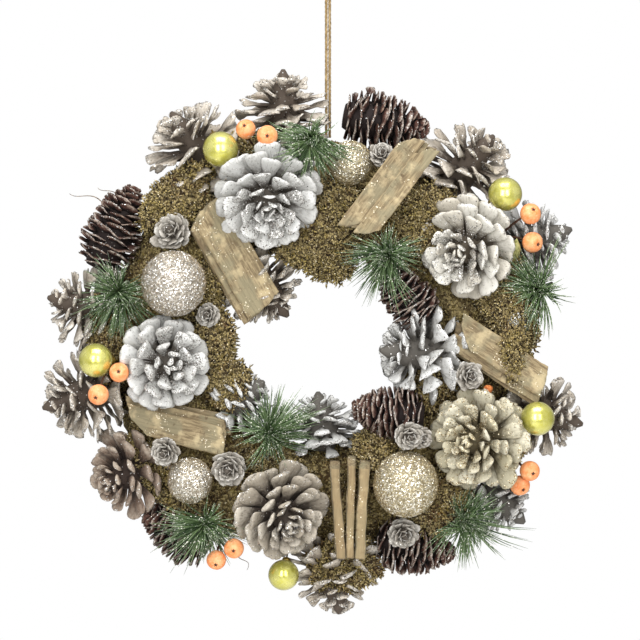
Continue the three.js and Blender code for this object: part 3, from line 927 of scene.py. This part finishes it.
def addBerries():
    berry, wire = berryMaterial(), wireMaterial()
    for seed, (node, own) in enumerate(berrySprigs.items()):
        rng = np.random.default_rng(700 + seed)
        foot = spot(*own["foot"])
        parts = []
        for at in own["berries"]:
            middle = spot(*at)
            radius = berrySize["radius"] * mm * rng.uniform(0.97, 1.05)
            aim = (middle - foot).normalized() + Vector((rng.normal(0, 0.3), -0.8, rng.normal(0, 0.3)))
            turn = towards(aim.normalized())
            around = np.linspace(math.pi - 0.02, 0.02, 30)
            dimple = berrySize["dimple"] * np.exp(-((around / 0.22) ** 2))
            tall = radius * np.cos(around) * (0.98 - 0.4 * dimple)
            ball = turnedSolid(list(zip(radius * np.sin(around), tall)), 40, (0, 0, 0), turn)
            lumps = 1 + 0.02 * cloud(ball["points"], 0.004, seed + 1)
            ball["points"] = ball["points"] * lumps[:, None] + np.array(middle)
            parts.append(ball)
            tip = middle + Vector(turn @ np.array([0, 0, radius * 0.86]))
            for leaf in range(5):
                a = leaf * 2 * math.pi / 5 + rng.uniform(0, 0.4)
                way = turn @ np.array([math.cos(a), math.sin(a), 0.25])
                line = [np.array(tip) + way * k * radius * 0.085 for k in range(4)]
                sepal = strand(line, np.array([0.42, 0.34, 0.2, 0.06]) * mm, 4)
                sepal["material"] = 1
                parts.append(sepal)
            bow = Vector((rng.normal(0, 1.5), -2.5, rng.normal(0, 1.5))) * mm
            line = [foot.lerp(middle, t) + bow * math.sin(math.pi * t) for t in np.linspace(0, 0.9, 8)]
            stem = strand([tuple(p) for p in line], berrySize["wire"] * mm, 6)
            stem["material"] = 1
            parts.append(stem)
        makePiece(node + "_pair", parts, [berry, wire], [node])


addBerries()
print("berries made")


# Bark: bundles of thin curled strips, each with its length, width and thickness, then its shift across,
# in front and along. bow is how far a strip arches across its width, slant how much its two ends are cut
barkBundles = {
    "bark_bundle_a": {
        "turn": 150, "tip": 0, "bow": 2.6, "slant": (0.5, 0.25), "lean": 0.0,
        "strips": [(72, 24, 1.5, -1.5, 4.0, 0), (73, 20, 1.4, 4.5, 1.2, 1), (70, 20, 1.6, 5.5, -2.4, -1)],
    },
    "bark_bundle_b": {
        "turn": 37, "tip": 0, "bow": 1.8, "slant": (0.9, 0.9), "lean": 1.5,
        "strips": [
            (66, 12, 1.7, 5.5, 3.4, 0), (68, 12, 1.6, -5.5, 1.6, -1),
            (66, 8, 1.5, 0.5, 0.2, 1), (64, 20, 1.6, 0, -2.6, 0),
        ],
    },
    "bark_bundle_c": {
        "turn": 284, "tip": 0, "bow": 2.0, "slant": (0.3, 1.0), "lean": 1.0,
        "strips": [(60, 17, 1.5, -3, 3.6, 0), (63, 12, 1.4, 4.0, 1.4, 2), (62, 12, 1.6, 6.5, -1.6, -1)],
    },
    "bark_bundle_d": {
        "turn": 4, "tip": 90, "bow": 0.6, "slant": (0.4, 0.4), "lean": 2.6, "splay": (1.0, 3.0, 8.0),
        "strips": [(58, 14, 6.4, 0, 7.8, 0), (59, 15, 4.8, 0, 0.6, 1), (57, 14, 6.0, 0, -7.2, -1)],
    },
    "bark_bundle_e": {
        "turn": 123, "tip": 0, "bow": 2.2, "slant": (0.9, 0.3), "lean": 1.5,
        "strips": [
            (62, 18, 1.5, -2.0, 3.6, 0), (64, 10, 1.4, 7.0, 2.0, 1),
            (63, 10, 1.4, 8.6, 0.0, 0), (62, 16, 1.6, 3.5, -2.5, -1),
        ],
    },
}


def barkMaterial():
    material, sheet, principled = newMaterial("khakiBark", Roughness=0.86)
    across, inward, length, layer = (sheet.value(k) for k in ("across", "inward", "length", "layer"))
    along = sheet.add("ShaderNodeCombineXYZ", {"X": across, "Y": inward, "Z": length}).outputs[0]
    grain = sheet.effect(grainEffect, Vector=along, Stretch=(1.0, 1.0, 0.1), Size=800.0)
    flecks = sheet.effect(grainEffect, Vector=along, Stretch=(0.45, 1.0, 1.0), Size=260.0)
    shade = sheet.mix(sheet.ramp(grain["Lines"], 0.38, 0.62), paint("6f5f46"), paint("9c8b6a"))
    shade = sheet.mix(sheet.ramp(grain["Shade"], 0.4, 0.6, 0.0, 0.7), shade, paint("878066"))
    patches = sheet.ramp(sheet.cloudy(95.0, 4.0, along), 0.5, 0.66, 0.0, 0.75)
    shade = sheet.mix(patches, shade, paint("c2b08a"))
    shade = sheet.mix(sheet.ramp(flecks["Lines"], 0.42, 0.30, 0.0, 0.8), shade, paint("5a4731"))
    # Painted shade: strips lying further back in a bundle are darkened, more for each strip behind
    shade = sheet.mix(sheet.ramp(layer, 0.0, 1.0, 0.0, 0.45), shade, paint("5b4a35"))
    shade = sheet.mix(sheet.ramp(sheet.value("edge"), 0.55, 1.0, 0.0, 0.55), shade, paint("96805c"))
    gathered = sheet.ramp(sheet.cloudy(120.0, 3.0), 0.52, 0.68)
    flakes = sheet.effect(glitterEffect, Flakes=1400.0, Amount=0.3, Where=gathered)
    shade = sheet.mix(flakes["Mask"], shade, sheet.mix(flakes["Tone"], paint("a08d66"), paint("fff6dc")))
    rough = sheet.ramp(flakes["Mask"], 0.0, 1.0, 0.86, 0.3)
    height = sheet.maths("ADD", grain["Lines"], sheet.maths("MULTIPLY", flecks["Lines"], 0.5))
    connect(sheet, principled, shade, rough, height=height, bumpSize=0.0005, flakes=flakes)
    return material


def barkStrip(strip, bundle, order, seed):
    rng = np.random.default_rng(seed)
    length, width, thick, acrossShift, front, alongShift = strip
    longSteps, wideSteps = 56, 14
    tBase = np.linspace(-0.5, 0.5, longSteps)
    edges = np.cumsum(rng.normal(0, 0.09, (2, longSteps)), axis=1)
    edges -= edges.mean(1)[:, None]
    edges = np.clip(edges, -0.5, 0.5)
    ends = rng.normal(0, 0.25, (2, wideSteps))
    lean = rng.normal(0, 1.0) * bundle["lean"]
    splay = bundle["splay"][order] if "splay" in bundle else 0.0
    rows = []
    for face in (1, -1):
        for j, v in enumerate(np.linspace(-0.5, 0.5, wideSteps)):
            for i, t in enumerate(tBase):
                x = v * width + (edges[0][i] if v < 0 else edges[1][i]) * abs(v) * 2 + lean * t
                cut = bundle["slant"][0 if t < 0 else 1] * v * width * (2 * abs(t)) ** 3
                splinter = (ends[0][j] if t < 0 else ends[1][j]) * (2 * abs(t)) ** 8
                z = t * length - abs(cut) * 0.5 * np.sign(t) + cut + splinter
                rounded = 1 - 0.25 * (2 * abs(v)) ** 8
                arch = bundle["bow"] * (0.25 - v * v) * 1.6 - t * t * 1.2
                y = face * thick / 2 * rounded + arch + splay * t
                rows.append((x, y, z))
    points = np.array(rows)
    rough = cloud(points * np.array([1, 1, 0.4]), 2.4, seed) * 0.16 + cloud(points, 9.0, seed + 3) * 0.6
    points[:, 1] += rough
    faces = []
    each = longSteps * wideSteps
    for j in range(wideSteps - 1):
        for i in range(longSteps - 1):
            a = j * longSteps + i
            faces.append((a + 1, a + longSteps + 1, a + longSteps, a))
            faces.append((a + each + longSteps, a + each + longSteps + 1, a + each + 1, a + each))
    for i in range(longSteps - 1):
        low, high = i, (wideSteps - 1) * longSteps + i
        faces.append((low + each, low + 1 + each, low + 1, low))
        faces.append((high + 1 + each, high + each, high, high + 1))
    for j in range(wideSteps - 1):
        near, far = j * longSteps, j * longSteps + longSteps - 1
        faces.append((near + longSteps + each, near + each, near, near + longSteps))
        faces.append((far + each, far + longSteps + each, far + longSteps, far))
    v = np.abs(np.tile(np.repeat(np.linspace(-1, 1, wideSteps), longSteps), 2))
    # The value for the strip's order in its bundle darkens later strips, which lie further back, as painted
    # shade
    values = {
        "across": points[:, 0] * mm + seed * 0.013, "inward": points[:, 1] * mm, "length": points[:, 2] * mm,
        "edge": v**9, "layer": order / 3,
    }
    shifted = points + np.array([acrossShift, -front, alongShift])
    return {"points": shifted * mm, "faces": faces, "values": values}


def addBark():
    material = barkMaterial()
    for order, (node, own) in enumerate(barkBundles.items()):
        turn = Matrix.Rotation(math.radians(own["turn"]), 3, "Y")
        turn = turn @ Matrix.Rotation(math.radians(own["tip"]), 3, "Z")
        parts = []
        for k, strip in enumerate(own["strips"]):
            part = barkStrip(strip, own, k, 800 + order * 10 + k)
            part["points"] = part["points"] @ np.array(turn).T + np.array(nodeMiddle(node))
            parts.append(part)
        makePiece(node + "_strips", parts, [material], [node])


addBark()
print("bark made")


# Stray bits that stand for no solid of their own: curly twigs, a broken stick and a pod
strayBits = {
    "twigs": [
        {"at": (304, 152, 30), "turn": 300, "length": 26, "curl": 5.0, "thick": 0.45},
        {"at": (307, 148, 30), "turn": 312, "length": 17, "curl": 4.0, "thick": 0.4},
        {"at": (200, 136, 44), "turn": 150, "length": 13, "curl": 4.0, "thick": 0.35},
    ],
    "stick": {"at": (105, 111, 62), "turn": 20, "length": 11.0, "thick": 2.6},
    "pod": {"at": (65, 138, 50), "turn": 8, "length": 17.0, "thick": 3.4},
}


strayFinishes = [("stick", "bark", ("8a4418", "c9783a")), ("pod", "needles", ("7a7a3e", "b5b276"))]


def woodMaterial(name, darkPaint, lightPaint):
    material, sheet, principled = newMaterial(name, Roughness=0.8)
    streaks = sheet.cloudy(700.0, 4.0)
    shade = sheet.mix(sheet.ramp(streaks, 0.35, 0.65), paint(darkPaint), paint(lightPaint))
    connect(sheet, principled, shade, height=streaks, bumpSize=0.0003)
    return material


def addStrayBits():
    rng = np.random.default_rng(870)
    parts = []
    for twig in strayBits["twigs"]:
        start = np.array(spot(*twig["at"]))
        aim, side = np.array(heading(twig["turn"], 10)), np.array(heading(twig["turn"] + 90, 0))
        t = np.linspace(0, 1, 16)[:, None]
        swing = side * np.sin(t * 5.0 + rng.uniform(0, 2)) * twig["curl"] * t * mm
        line = start + aim * t * twig["length"] * mm + swing
        parts.append(strand(line, np.linspace(1.0, 0.4, 16) * twig["thick"] * mm, 5))
    makePiece("stray_twigs", parts, [woodMaterial("greyTwig", "4a3d31", "8a7a68")])
    for name, slotName, colours in strayFinishes:
        bit = strayBits[name]
        t = np.linspace(-0.5, 0.5, 9)
        blunt = 8 if name == "stick" else 2
        around = bit["thick"] * (1.02 - np.abs(2 * t) ** blunt)
        profile = [(r * mm, h * bit["length"] * mm) for r, h in zip(around, t)]
        part = turnedSolid(profile, 12, (0, 0, 0), towards(heading(bit["turn"], 30)))
        part["points"] *= (1 + 0.12 * cloud(part["points"], 0.003, 4))[:, None]
        part["points"] += np.array(spot(*bit["at"]))
        makePiece("stray_" + name, [part], [woodMaterial(name + "Wood", *colours)])


addStrayBits()
print("stray bits made")


# Moss: mounds of small closed leaflets over a lumpy cushion. Each mound has its clock, reach and lift,
# then its half sizes round the ring, outward and to the front
mossSetup = {"leafLength": (1.8, 5.0), "leafWide": 0.8, "perSquareMm": 0.5}
mossMounds = {
    "moss_a": (317, 122, 34, 26, 15, 12), "moss_b": (12, 82, 40, 17, 22, 12),
    "moss_c": (44, 106, 38, 20, 22, 14), "moss_d": (78, 124, 36, 34, 17, 16),
    "moss_e": (245, 58, 34, 18, 14, 12), "moss_f": (150, 82, 36, 14, 18, 14),
    "moss_g": (172, 138, 28, 22, 16, 12), "moss_h": (141, 126, 34, 20, 18, 13),
    "moss_i": (105, 78, 36, 20, 14, 13), "moss_j": (0, 60, 34, 22, 12, 12),
    "moss_k": (228, 122, 30, 30, 14, 10), "moss_l": (272, 124, 32, 26, 14, 10),
    "moss_m": (197, 82, 30, 24, 16, 10), "moss_n": (118, 134, 30, 18, 12, 12),
    "moss_o": (340, 124, 30, 22, 14, 10), "moss_p": (296, 78, 32, 18, 14, 10),
    "moss_q": (271, 61, 34, 20, 13, 11), "moss_r": (12, 52, 30, 15, 11, 10),
    "moss_s": (92, 124, 50, 17, 9, 9),
}


def mossMaterial():
    material, sheet, principled = newMaterial("driedMoss", Roughness=0.95)
    tone, along = sheet.value("tone"), sheet.value("along")
    shade = sheet.mix(sheet.ramp(tone, 0.1, 0.9), paint("5c451f"), paint("dec98c"))
    olive = sheet.ramp(sheet.cloudy(45.0, 3.0), 0.42, 0.62)
    shade = sheet.mix(sheet.maths("MULTIPLY", olive, 0.4), shade, paint("ac9b50"))
    shade = sheet.mix(sheet.ramp(sheet.cloudy(60.0, 2.0), 0.5, 0.3, 0.0, 0.6), shade, paint("774d29"))
    shade = sheet.mix(sheet.ramp(sheet.cloudy(210.0, 3.0), 0.52, 0.36, 0.0, 0.75), shade, paint("33230f"))
    shade = sheet.mix(sheet.ramp(sheet.cloudy(170.0, 3.0), 0.52, 0.68, 0.0, 0.6), shade, paint("c2ab52"))
    # Painted shade: leaflets darken towards their feet, and the cushions and coat beneath them are painted
    # dark
    shade = sheet.mix(sheet.ramp(along, 0.35, 0.0, 0.0, 0.8), shade, paint("241808"))
    crumbs = sheet.add("ShaderNodeTexVoronoi", {"Vector": sheet.place(), "Scale": 620.0}).outputs
    crumbTone = sheet.add("ShaderNodeSeparateColor", {"Color": crumbs["Color"]}).outputs[0]
    shade = sheet.mix(sheet.ramp(crumbTone, 0.3, 0.9, 0.0, 0.6), shade, paint("d9c48a"))
    # Painted shade in the hollows between crumbs, where the bump is lowest
    shade = sheet.mix(sheet.ramp(crumbs["Distance"], 0.45, 0.85, 0.0, 0.7), shade, paint("2b1d0c"))
    flakes = sheet.effect(glitterEffect, Flakes=1200.0, Amount=0.2, Where=sheet.ramp(along, 0.1, 0.6))
    shade = sheet.mix(flakes["Mask"], shade, sheet.mix(flakes["Tone"], paint("b39a55"), paint("fff3d4")))
    height = sheet.ramp(crumbs["Distance"], 0.0, 0.7, 1.0, 0.0)
    connect(sheet, principled, shade, height=height, bumpSize=0.0012)
    return material


# Closed three-sided leaflets standing on given feet
def leaflets(feet, ways, lengths, wides, tones):
    count = len(feet)
    side = np.cross(ways, np.array([0.37, 0.71, 0.59]))
    side /= np.linalg.norm(side, axis=1)[:, None] + 1e-9
    other = np.cross(ways, side)
    belly = feet + ways * (lengths * 0.55)[:, None]
    ring = [belly + wides[:, None] * (math.cos(a) * side + math.sin(a) * other) for a in (0.0, 2.094, 4.189)]
    points = np.stack([feet, *ring, feet + ways * lengths[:, None]], 1).reshape(-1, 3)
    one = [(0, 2, 1), (0, 3, 2), (0, 1, 3), (4, 1, 2), (4, 2, 3), (4, 3, 1)]
    along = np.tile([0.0, 0.55, 0.55, 0.55, 1.0], count)
    values = {"along": along, "tone": np.repeat(tones, 5)}
    return {"points": points, "faces": manyFaces(one, count, 5), "values": values}


def randomWays(rng, normals, spread):
    ways = normals + rng.normal(0, spread, normals.shape)
    return ways / np.linalg.norm(ways, axis=1)[:, None]


def moundLumps(points, seed):
    coarse, fine = cloud(points, 0.45, seed), cloud(points, 0.17, seed + 9)
    return 1 + 0.30 * coarse + 0.24 * fine


def addMossMounds(material):
    s = mossSetup
    for seed, (name, (clock, reach, lift, about, out, front)) in enumerate(mossMounds.items()):
        rng = np.random.default_rng(900 + seed)
        a = math.radians(clock)
        axes = np.array([[math.cos(a), 0, -math.sin(a)], [math.sin(a), 0, math.cos(a)], [0, -1, 0]])
        half = np.array([about, out, front]) * mm
        place = np.array(spot(clock, reach, lift))
        faceSizes = [(about * out) ** 1.6 / 3, (about * front) ** 1.6 / 3, (out * front) ** 1.6 / 3]
        area = 4 * math.pi * (faceSizes[0] + faceSizes[1] + faceSizes[2]) ** (1 / 1.6)
        count = int(area * s["perSquareMm"])
        ball = rng.normal(size=(count, 3))
        ball /= np.linalg.norm(ball, axis=1)[:, None]
        ball[:, 2] = np.where(ball[:, 2] < -0.35, -ball[:, 2], ball[:, 2])
        feet = (ball * half * moundLumps(ball, seed)[:, None]) @ axes + place
        normals = (ball / half) @ axes
        normals /= np.linalg.norm(normals, axis=1)[:, None]
        lengths = rng.uniform(*s["leafLength"], count) * mm
        wides = rng.uniform(0.6, 1.2, count) * s["leafWide"] * mm
        ways = randomWays(rng, normals, 0.7)
        leaves = leaflets(feet - normals * 0.5 * mm, ways, lengths, wides, rng.random(count))
        rows, sides = 24, 36
        tall = np.linspace(0.06, math.pi - 0.06, rows)
        cushion = turnedSolid([(math.sin(t), math.cos(t)) for t in tall[::-1]], sides, (0, 0, 0))
        unit = cushion["points"]
        cushion["points"] = (unit * half * moundLumps(unit, seed)[:, None] * 0.97) @ axes + place
        # along 0 paints the cushion in the dark painted shade under the leaflets
        cushion["values"] = {"along": 0.0, "tone": 0.2}
        makePiece(name + "_mound", [leaves, cushion], [material], ["moss_bed"])


# The thin coat that covers the ring's front between the mounds. coarse and fine are a height and a size
coatSetup = {
    "middle": 95.0, "halfWide": 33.5, "deep": 34.0, "edge": 5, "inward": 3.2, "coarse": (2.2, 9.0),
    "fine": (1.6, 3.5), "roundSteps": 200, "arcSteps": 22, "leaves": 18000, "frontOnly": -0.25,
    "scatter": 1.3, "sink": 0.4, "leafLength": (1.5, 3.8), "leafWide": (0.45, 0.9),
}


def addMossCoat(material):
    rng = np.random.default_rng(950)
    s = coatSetup
    middleRadius, edge = s["middle"], s["edge"]
    roundSteps, arcSteps = s["roundSteps"], s["arcSteps"]
    points = []
    for i in range(roundSteps):
        c = i * 2 * math.pi / roundSteps
        for j in range(arcSteps):
            a = math.pi * j / (arcSteps - 1)
            reach = middleRadius - s["halfWide"] * math.cos(a)
            lift = edge + (s["deep"] - edge) * math.sin(a)
            points.append((reach * math.sin(c), -lift, reach * math.cos(c)))
    front = np.array(points)
    away = front.copy()
    away[:, 1] += edge
    centre = away.copy()
    flat = np.linalg.norm(centre[:, [0, 2]], axis=1)
    centre[:, 0] *= middleRadius / flat
    centre[:, 2] *= middleRadius / flat
    centre[:, 1] = 0
    normals = away - centre
    normals /= np.linalg.norm(normals, axis=1)[:, None]
    (coarse, coarseSize), (fine, fineSize) = s["coarse"], s["fine"]
    lumps = coarse * cloud(front, coarseSize, 3) + fine * cloud(front, fineSize, 4)
    outer = front + normals * (lumps - 0.6)[:, None]
    inner = front - normals * s["inward"]
    faces = []
    each = len(front)
    for i in range(roundSteps):
        n = (i + 1) % roundSteps
        for j in range(arcSteps - 1):
            a, b, c, d = i * arcSteps + j, n * arcSteps + j, n * arcSteps + j + 1, i * arcSteps + j + 1
            faces.append((a, d, c, b))
            faces.append((a + each, b + each, c + each, d + each))
        for j in (0, arcSteps - 1):
            a, b = i * arcSteps + j, n * arcSteps + j
            faces.append((a, b, b + each, a + each) if j == 0 else (b, a, a + each, b + each))
    origin = np.array([ringMiddle.x, backPlane, ringMiddle.z])
    coat = {"points": np.concatenate([outer, inner]) * mm + origin, "faces": faces}
    # along 0.15 gives the coat part of the dark painted shade under the leaflets
    coat["values"] = {"along": 0.15, "tone": 0.3}
    count = s["leaves"]
    seen = np.nonzero(normals[:, 1] < s["frontOnly"])[0]
    pick = rng.choice(seen, count)
    loose = rng.normal(0, s["scatter"], (count, 3)) * (1 - np.abs(normals[pick]))
    feet = outer[pick] + loose - normals[pick] * s["sink"]
    lengths = rng.uniform(*s["leafLength"], count)
    wides = rng.uniform(*s["leafWide"], count)
    ways = randomWays(rng, normals[pick], 0.7)
    leaves = leaflets(feet * mm + origin, ways, lengths * mm, wides * mm, rng.random(count))
    makePiece("moss_coat", [coat, leaves], [material], ["moss_bed"])


mossFinish = mossMaterial()
addMossMounds(mossFinish)
addMossCoat(mossFinish)
print("moss made")


# Straw ring with strands laid round it and a thread wound over them
ringSetup = {"middle": 95.0, "halfWide": 28.2, "deep": 30.0, "strands": 220, "turns": 40}


def strawMaterial():
    material, sheet, principled = newMaterial("boundStraw", Roughness=0.8)
    shade = sheet.mix(sheet.ramp(sheet.value("tone"), 0.0, 1.0), paint("8f7440"), paint("d3b878"))
    shade = sheet.mix(sheet.ramp(sheet.cloudy(350.0, 4.0), 0.4, 0.7, 0.0, 0.5), shade, paint("6f5529"))
    connect(sheet, principled, shade, height=sheet.cloudy(1100.0, 3.0), bumpSize=0.0004)
    return material


def threadMaterial():
    material, sheet, principled = newMaterial("bindingThread", Roughness=0.5)
    shade = sheet.mix(sheet.cloudy(700.0, 2.0), paint("3d4a35"), paint("6a7a58"))
    connect(sheet, principled, shade, height=sheet.cloudy(2500.0, 2.0), bumpSize=0.0001)
    return material


def ringPoint(around, clock, swell=0.0):
    r = ringSetup
    if around < 1.0:
        a = math.pi * around
        reach, lift = r["middle"] - (r["halfWide"] + swell) * math.cos(a), (r["deep"] + swell) * math.sin(a)
    else:
        reach, lift = r["middle"] + r["halfWide"] - (around - 1.0) * 2 * r["halfWide"], -swell * 0.3
    return np.array([reach * math.sin(clock), -lift, reach * math.cos(clock)])


def addRing():
    rng = np.random.default_rng(960)
    origin = np.array([ringMiddle.x, backPlane - 0.6 * mm, ringMiddle.z])
    roundSteps = 180
    arounds = np.concatenate([np.linspace(0, 1, 28)[:-1], np.linspace(1, 2, 20)[:-1]])
    arcSteps = len(arounds)
    clocks = [i * 2 * math.pi / roundSteps for i in range(roundSteps)]
    points = np.array([ringPoint(a, clock, -0.8) for clock in clocks for a in arounds])
    points += (cloud(points * [0.4, 1, 0.4], 3.0, 5) * 0.5)[:, None] * np.array([0.3, 0.4, 0.3])
    faces = []
    for i in range(roundSteps):
        n = (i + 1) % roundSteps
        for j in range(arcSteps):
            m = (j + 1) % arcSteps
            faces.append((i * arcSteps + j, i * arcSteps + m, n * arcSteps + m, n * arcSteps + j))
    parts = [{"points": points * mm + origin, "faces": faces, "values": {"tone": 0.15}}]
    for k in range(ringSetup["strands"]):
        around = rng.uniform(0.0, 2.0)
        start, span = rng.uniform(0, 2 * math.pi), rng.uniform(0.35, 0.9)
        drift, phase = rng.normal(0, 0.04), rng.uniform(0, 6.28)
        line = []
        for t in np.linspace(0, 1, 12):
            sway = (around + drift * t + 0.01 * math.sin(phase + 5 * t)) % 2.0
            line.append(ringPoint(sway, start + span * t, rng.uniform(-0.2, 0.1)) * mm + origin)
        parts.append(strand(line, rng.uniform(0.7, 1.2) * mm, 5, {"tone": rng.random()}))
    for k in range(ringSetup["turns"]):
        clock = k * 2 * math.pi / ringSetup["turns"]
        lean = 2 * math.pi / ringSetup["turns"] / 2
        line = [ringPoint(a % 2.0, clock + lean * a, 1.0) * mm + origin for a in np.linspace(0, 1.999, 34)]
        wound = strand(line, 0.35 * mm, 5, {"tone": 0.5})
        wound["material"] = 1
        parts.append(wound)
    makePiece("straw_ring", parts, [strawMaterial(), threadMaterial()], ["ring_base"])


addRing()
print("ring made")


# Floor, lights and a pale surround
lightSetup = {
    "surround": (0.22, 0.62),
    "boxes": [
        {"name": "leftBox", "at": (-0.44, -1.5, 0.3), "size": (0.52, 1.1), "power": 13},
        {"name": "rightBox", "at": (0.44, -1.5, 0.3), "size": (0.52, 1.1), "power": 10},
        {"name": "topBox", "at": (0.0, -0.6, 1.3), "size": (1.2, 0.8), "power": 18},
    ],
}


def addFloor():
    mesh = bpy.data.meshes.new("paleFloor")
    steps, radius = 96, 3.4
    turns = [k * 2 * math.pi / steps for k in range(steps)]
    ring = [(radius * math.cos(a), radius * math.sin(a), 0) for a in turns]
    mesh.from_pydata(ring, [], [tuple(range(steps))])
    floor = bpy.data.objects.new("paleFloor", mesh)
    floor.location = (0, 0, -floorDrop)
    material, sheet, principled = newMaterial("paleFloor", Roughness=0.9)
    shade = sheet.mix(sheet.cloudy(1.5, 2.0), paint("f3f2f0"), paint("f7f6f4"))
    connect(sheet, principled, shade)
    mesh.materials.append(material)
    bpy.context.collection.objects.link(floor)


def addLights():
    middle = Vector((ringMiddle.x, ringMiddle.y, ringMiddle.z))
    for box in lightSetup["boxes"]:
        light = bpy.data.lights.new(box["name"], "AREA")
        light.shape = "RECTANGLE"
        light.size, light.size_y = box["size"]
        light.energy = box["power"]
        holder = bpy.data.objects.new(box["name"], light)
        holder.location = middle + Vector(box["at"])
        holder.rotation_euler = (middle - holder.location).to_track_quat("-Z", "Y").to_euler()
        bpy.context.collection.objects.link(holder)
    world = bpy.data.worlds.new("paleSurround")
    world.use_nodes = True
    sheet = Sheet(world.node_tree)
    background = next(n for n in world.node_tree.nodes if n.type == "BACKGROUND")
    background.inputs["Color"].default_value = (1, 1, 1, 1)
    seen = sheet.add("ShaderNodeLightPath").outputs["Is Camera Ray"]
    generated = sheet.add("ShaderNodeTexCoord").outputs["Generated"]
    way = sheet.add("ShaderNodeSeparateXYZ", {0: generated}).outputs
    frontAndTop = sheet.maths("SUBTRACT", sheet.maths("MULTIPLY", way[2], 0.6), way[1])
    soft = sheet.ramp(frontAndTop, -1.0, 1.0, *lightSetup["surround"])
    strength = sheet.add("ShaderNodeMix", {"Factor": seen, "A": soft, "B": 1.0}).outputs[0]
    world.node_tree.links.new(strength, background.inputs["Strength"])
    bpy.context.scene.world = world
    bpy.context.scene.view_settings.view_transform = "Standard"


addFloor()
addLights()
print("floor and lights placed")
